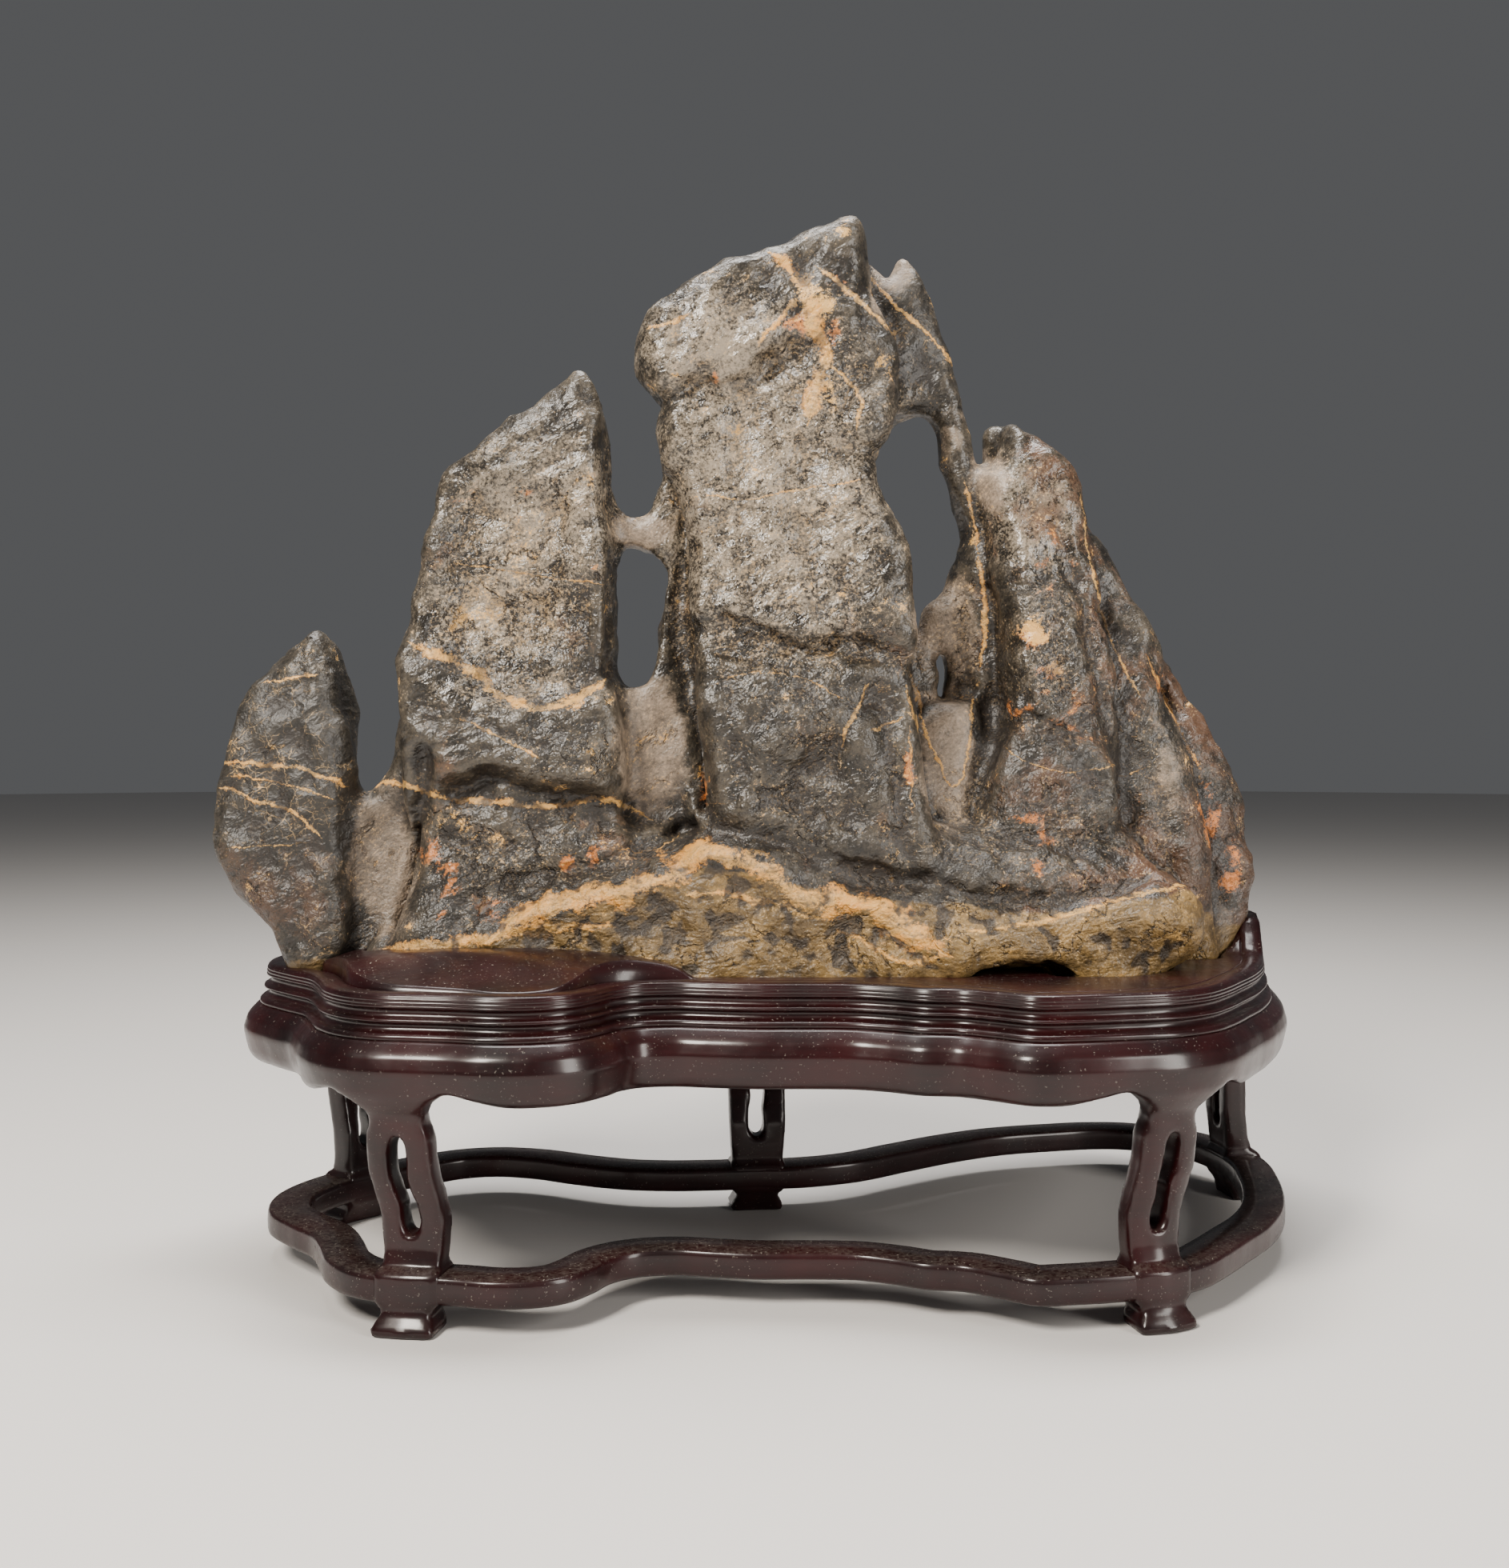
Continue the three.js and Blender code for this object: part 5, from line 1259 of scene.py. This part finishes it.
def make_stone(sizes):
    """The stone's mesh object, weathered and painted"""
    field = StoneField()
    cell = sizes.cell / MM
    low = np.array([*STONE_LOW, STONE_FOOT - 2 * cell])
    values = field.grid(low, STONE_HIGH, cell)
    zs = np.arange(low[2], STONE_HIGH[2] + cell, cell)
    values = np.maximum(values, STONE_FOOT - zs)
    vertices, quads = largest_part(*surface_net(values, low, cell))
    above = smooth_step(STONE_FOOT + 0.5, STONE_FOOT + 5, vertices[:, 2])
    moved = (weathering(vertices) * sizes.weathering - crease_depth(vertices)) * above
    vertices = vertices + vertex_normals(vertices, quads) * moved[:, None]
    vertices[:, 2] = np.maximum(vertices[:, 2], STONE_FOOT)
    normals = vertex_normals(vertices, quads)
    hollow = sum(np.clip(hollow_of(vertices, quads, normals, rounds) / full, -1, 1) * share
                 for rounds, full, share in HOLLOW_SCALES)
    piece = make_mesh("polished_stone", vertices, quads)
    paint_stone(piece.data, vertices, hollow)
    thin_out(piece, sizes.most_triangles)
    return piece


def crease_depth(points):
    """How deep narrow, wavering creases are cut into the front at each point"""
    px, py = view_of(points)
    # The lines waver by up to 5 pixels
    waver = np.sin(px * 0.21 + py * 0.13) * 2.0 + np.sin(px * 0.09 - py * 0.17) * 3.0
    depth = np.zeros(len(points))
    for width, deep, line in FRONT_CREASES:
        away, along = line_distances(px, py, line)
        away = (away + waver) * (EYE_STAND_OFF + points[:, 1]) / EYE_PIXELS
        depth = np.maximum(depth, deep * tapered(along, 0.12) * np.exp(-(away / width) ** 2))
    return depth * smooth_step(FRONT_ENDS[1], FRONT_ENDS[0], points[:, 1])


def thin_out(piece, most_triangles):
    """Takes triangles out of the flatter places until no more than so many are left"""
    triangles = sum(len(polygon.vertices) - 2 for polygon in piece.data.polygons)
    if triangles <= most_triangles:
        return
    modifier = piece.modifiers.new("Thin", "DECIMATE")
    modifier.ratio = most_triangles / triangles
    mesh = evaluated_mesh(piece)
    piece.modifiers.remove(modifier)
    old = piece.data
    piece.data = mesh
    bpy.data.meshes.remove(old)
    smooth_faces(mesh)


def finish_piece(piece, material, nodes):
    """Gives a piece its material and its CAD body, and hides the CAD nodes that it stands for"""
    piece.data.materials.clear()
    piece.data.materials.append(material)
    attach(piece, "root")
    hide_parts(*nodes)


def color_setting(name, description, default):
    """A colour property"""
    return bpy.props.FloatVectorProperty(
        name=name, description=description, default=default, size=3, subtype="COLOR", min=0, max=1)


class StoneSizes(bpy.types.PropertyGroup):
    cell: bpy.props.FloatProperty(
        name="Cell", description="Spacing of the grid on which the stone's surface is found",
        default=0.0016, min=0.001, max=0.01, unit="LENGTH")
    most_triangles: bpy.props.IntProperty(
        name="Most Triangles", description="Triangles that the stone keeps at most",
        default=190000, min=1000)
    weathering: bpy.props.FloatProperty(
        name="Weathering", description="How strongly weather has worn the surface",
        default=1.0, min=0, max=2)


class StandSizes(bpy.types.PropertyGroup):
    cell: bpy.props.FloatProperty(
        name="Cell", description="Spacing of the grid on which the carved frame's surface is found",
        default=0.0015, min=0.001, max=0.01, unit="LENGTH")
    stations: bpy.props.IntProperty(
        name="Stations", description="Points around the board", default=600, min=60, max=1200)
    rows: bpy.props.IntProperty(
        name="Rows", description="Rows of points from the board's edge to its middle",
        default=62, min=10, max=200)


class FinishColors(bpy.types.PropertyGroup):
    slate: color_setting("Slate", "Dark polished parts of the stone", (0.014, 0.0125, 0.0105))
    grey: color_setting("Grey", "Main grey of the stone", (0.078, 0.064, 0.046))
    pale_and_lit: color_setting("Pale grey", "Washed parts of the stone", (0.345, 0.284, 0.212))
    # Partly the stone's own light grey, partly painted highlight on its lit upper faces
    brown: color_setting("Brown", "Warm areas of the stone", (0.095, 0.046, 0.024))
    sand: color_setting("Sand", "Fine beige speckle", (0.56, 0.38, 0.19))
    # Partly the bare stone's colour, partly painted light in recesses that the lamps reach little
    hollow: color_setting("Hollow", "Bare hollows between the peaks", (0.33, 0.252, 0.184))
    # Painted shade, laid into the stone's hollows, creases and clefts
    painted_shade: color_setting("Shade", "Deepest creases", (0.018, 0.014, 0.011))
    olive: color_setting("Olive", "Light part of the base band", (0.27, 0.165, 0.052))
    olive_dark: color_setting("Dark olive", "Dark part of the base band", (0.095, 0.060, 0.023))
    cream: color_setting("Cream", "Pale veins", (0.72, 0.42, 0.125))
    ochre: color_setting("Ochre", "Warm veins", (0.58, 0.25, 0.04))
    orange: color_setting("Orange", "Rusty stains", (0.52, 0.17, 0.032))
    lacquer: color_setting("Lacquer", "Red-brown lacquer", (0.020, 0.0018, 0.0024))
    lacquer_dark: color_setting("Dark lacquer", "Lacquer where it is thick", (0.004, 0.0006, 0.0008))
    dust: color_setting("Dust", "Dust on the stand", (0.20, 0.18, 0.155))


class StageLook(bpy.types.PropertyGroup):
    floor: color_setting("Floor", "Colour of the floor", (0.62, 0.60, 0.58))
    air: color_setting("Surroundings", "Colour of the light from all around", (0.60, 0.61, 0.63))
    key: bpy.props.FloatProperty(
        name="Key light", description="Power of the large soft light at the front left", default=35, min=0,
        unit="POWER")


def finished(name, make, colors):
    """A material that was made before, or else a new one"""
    return bpy.data.materials.get(name) or make(colors)


class STONE_OT_make_stone(bpy.types.Operator):
    """Make the polished stone"""
    bl_idname = "scholar.make_stone"
    bl_label = "Make Stone"

    def execute(self, context):
        scene = context.scene
        piece = make_stone(scene.stone_sizes)
        material = finished("polished_limestone", stone_finish, scene.finish_colors)
        finish_piece(piece, material, ["stone"])
        return {"FINISHED"}


class STONE_OT_make_board(bpy.types.Operator):
    """Make the board with its moulded edge and the socket for the stone"""
    bl_idname = "scholar.make_board"
    bl_label = "Make Board"

    def execute(self, context):
        scene = context.scene
        sizes = scene.stand_sizes
        plan = Plan()
        lacquer = finished("red_lacquer", lacquer_finish, scene.finish_colors)
        panel = make_mesh("board_panel", *make_panel(plan, StoneField(), sizes.stations, sizes.rows))
        finish_piece(panel, lacquer, ["board"])
        edge = swept("board_edge", plan, EDGE_MOULDING, EDGE_LEVEL, lacquer)
        raise_end(edge)
        finish_piece(edge, lacquer, ["board"])
        return {"FINISHED"}


class STONE_OT_make_carved_frame(bpy.types.Operator):
    """Make the apron with its five legs"""
    bl_idname = "scholar.make_carved_frame"
    bl_label = "Make Carved Frame"

    def execute(self, context):
        scene = context.scene
        lacquer = finished("red_lacquer", lacquer_finish, scene.finish_colors)
        piece = make_mesh("carved_frame", *make_carved_frame(Plan(), scene.stand_sizes.cell / MM))
        nodes = [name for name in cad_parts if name.startswith(("leg_", "apron_"))]
        finish_piece(piece, lacquer, nodes)
        return {"FINISHED"}


class STONE_OT_make_ring(bpy.types.Operator):
    """Make the stretcher ring that joins the legs near the floor"""
    bl_idname = "scholar.make_ring"
    bl_label = "Make Stretcher Ring"

    def execute(self, context):
        scene = context.scene
        lacquer = finished("red_lacquer", lacquer_finish, scene.finish_colors)
        piece = swept("stretcher_ring", Plan(), RING_SECTION, RING_LEVEL, lacquer)
        nodes = [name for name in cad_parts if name.startswith("rail_")]
        finish_piece(piece, lacquer, nodes)
        return {"FINISHED"}


# Soft lights: name, place and the height that they aim at in m, sizes, share of the key's power, colour
LIGHTS = (
    ("key", (-0.58, -0.9, 1.08), 0.22, (0.3, 0.45), 1.0, (1.0, 0.93, 0.84)),
    ("fill", (0.95, -0.8, 0.5), 0.2, (0.35, 0.8), 0.42, (1.0, 0.95, 0.89)),
    ("top", (0.0, 0.15, 1.25), 0.2, (0.9, 0.5), 0.75, (1.0, 0.97, 0.94)),
)
FLOOR_RADIUS = 6.0
AIR_STRENGTH = 0.16


def add_light(name, place, aim, size, power, color):
    """A rectangular area light that aims at a height above the origin"""
    data = bpy.data.lights.new(name, "AREA")
    data.shape = "RECTANGLE"
    data.size, data.size_y = size
    data.energy = power
    data.color = color
    light = add_object(name, data)
    light.location = place
    light.rotation_euler = (Vector((0, 0, aim)) - Vector(place)).to_track_quat("-Z", "Y").to_euler()


class STONE_OT_make_stage(bpy.types.Operator):
    """Make the floor, the lights and the camera"""
    bl_idname = "scholar.make_stage"
    bl_label = "Make Stage"

    def execute(self, context):
        scene = context.scene
        look = scene.stage_look
        work = bmesh.new()
        bmesh.ops.create_circle(work, cap_ends=True, segments=96, radius=FLOOR_RADIUS)
        data = bpy.data.meshes.new("floor")
        work.to_mesh(data)
        work.free()
        paint = Look("floor_paint")
        shader = paint.node(
            "ShaderNodeBsdfPrincipled", None, {"Base Color": solid(look.floor), "Roughness": 0.6})
        paint.node("ShaderNodeOutputMaterial", None, {"Surface": paint.out(shader)})
        data.materials.append(paint.material)
        add_object("floor", data)
        scene.world = bpy.data.worlds.new("studio")
        scene.world.use_nodes = True
        background = scene.world.node_tree.nodes["Background"]
        background.inputs["Color"].default_value = solid(look.air)
        background.inputs["Strength"].default_value = AIR_STRENGTH
        for name, place, aim, size, share, color in LIGHTS:
            add_light(name, place, aim, size, look.key * share, color)
        self.add_camera(scene)
        return {"FINISHED"}

    def add_camera(self, scene):
        width, height = IMAGE_SIZE
        data = bpy.data.cameras.new("camera")
        data.sensor_fit = "HORIZONTAL"
        data.lens = EYE_PIXELS * data.sensor_width / width
        data.shift_y = (HORIZON - height / 2) / width
        data.clip_start = 0.01
        camera = add_object("camera", data)
        camera.location = Vector((-MIDDLE[0], -EYE_STAND_OFF - MIDDLE[1], EYE_HEIGHT)) * MM
        camera.rotation_euler = (math.pi / 2, 0, 0)
        scene.camera = camera


MAKERS = (
    STONE_OT_make_stone, STONE_OT_make_board, STONE_OT_make_carved_frame, STONE_OT_make_ring,
    STONE_OT_make_stage,
)


class STONE_PT_panel(bpy.types.Panel):
    """Lists the makers of the stone, its stand and the stage"""
    bl_idname = "STONE_PT_panel"
    bl_label = "Scholar Stone"
    bl_space_type = "VIEW_3D"
    bl_region_type = "UI"
    bl_category = "Stone"

    def draw(self, context):
        for maker in MAKERS:
            self.layout.operator(maker.bl_idname)


SETTINGS = dict(
    stone_sizes=StoneSizes, stand_sizes=StandSizes, finish_colors=FinishColors, stage_look=StageLook)
CLASSES = (*SETTINGS.values(), *MAKERS, STONE_PT_panel)


def register():
    for item in CLASSES:
        bpy.utils.register_class(item)
    for name, group in SETTINGS.items():
        setattr(bpy.types.Scene, name, bpy.props.PointerProperty(type=group))


def unregister():
    for name in SETTINGS:
        delattr(bpy.types.Scene, name)
    for item in reversed(CLASSES):
        bpy.utils.unregister_class(item)


def main():
    register()
    bpy.ops.scholar.make_stage()
    bpy.ops.scholar.make_ring()
    bpy.ops.scholar.make_carved_frame()
    bpy.ops.scholar.make_board()
    bpy.ops.scholar.make_stone()
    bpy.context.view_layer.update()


if __name__ == "__main__":
    main()
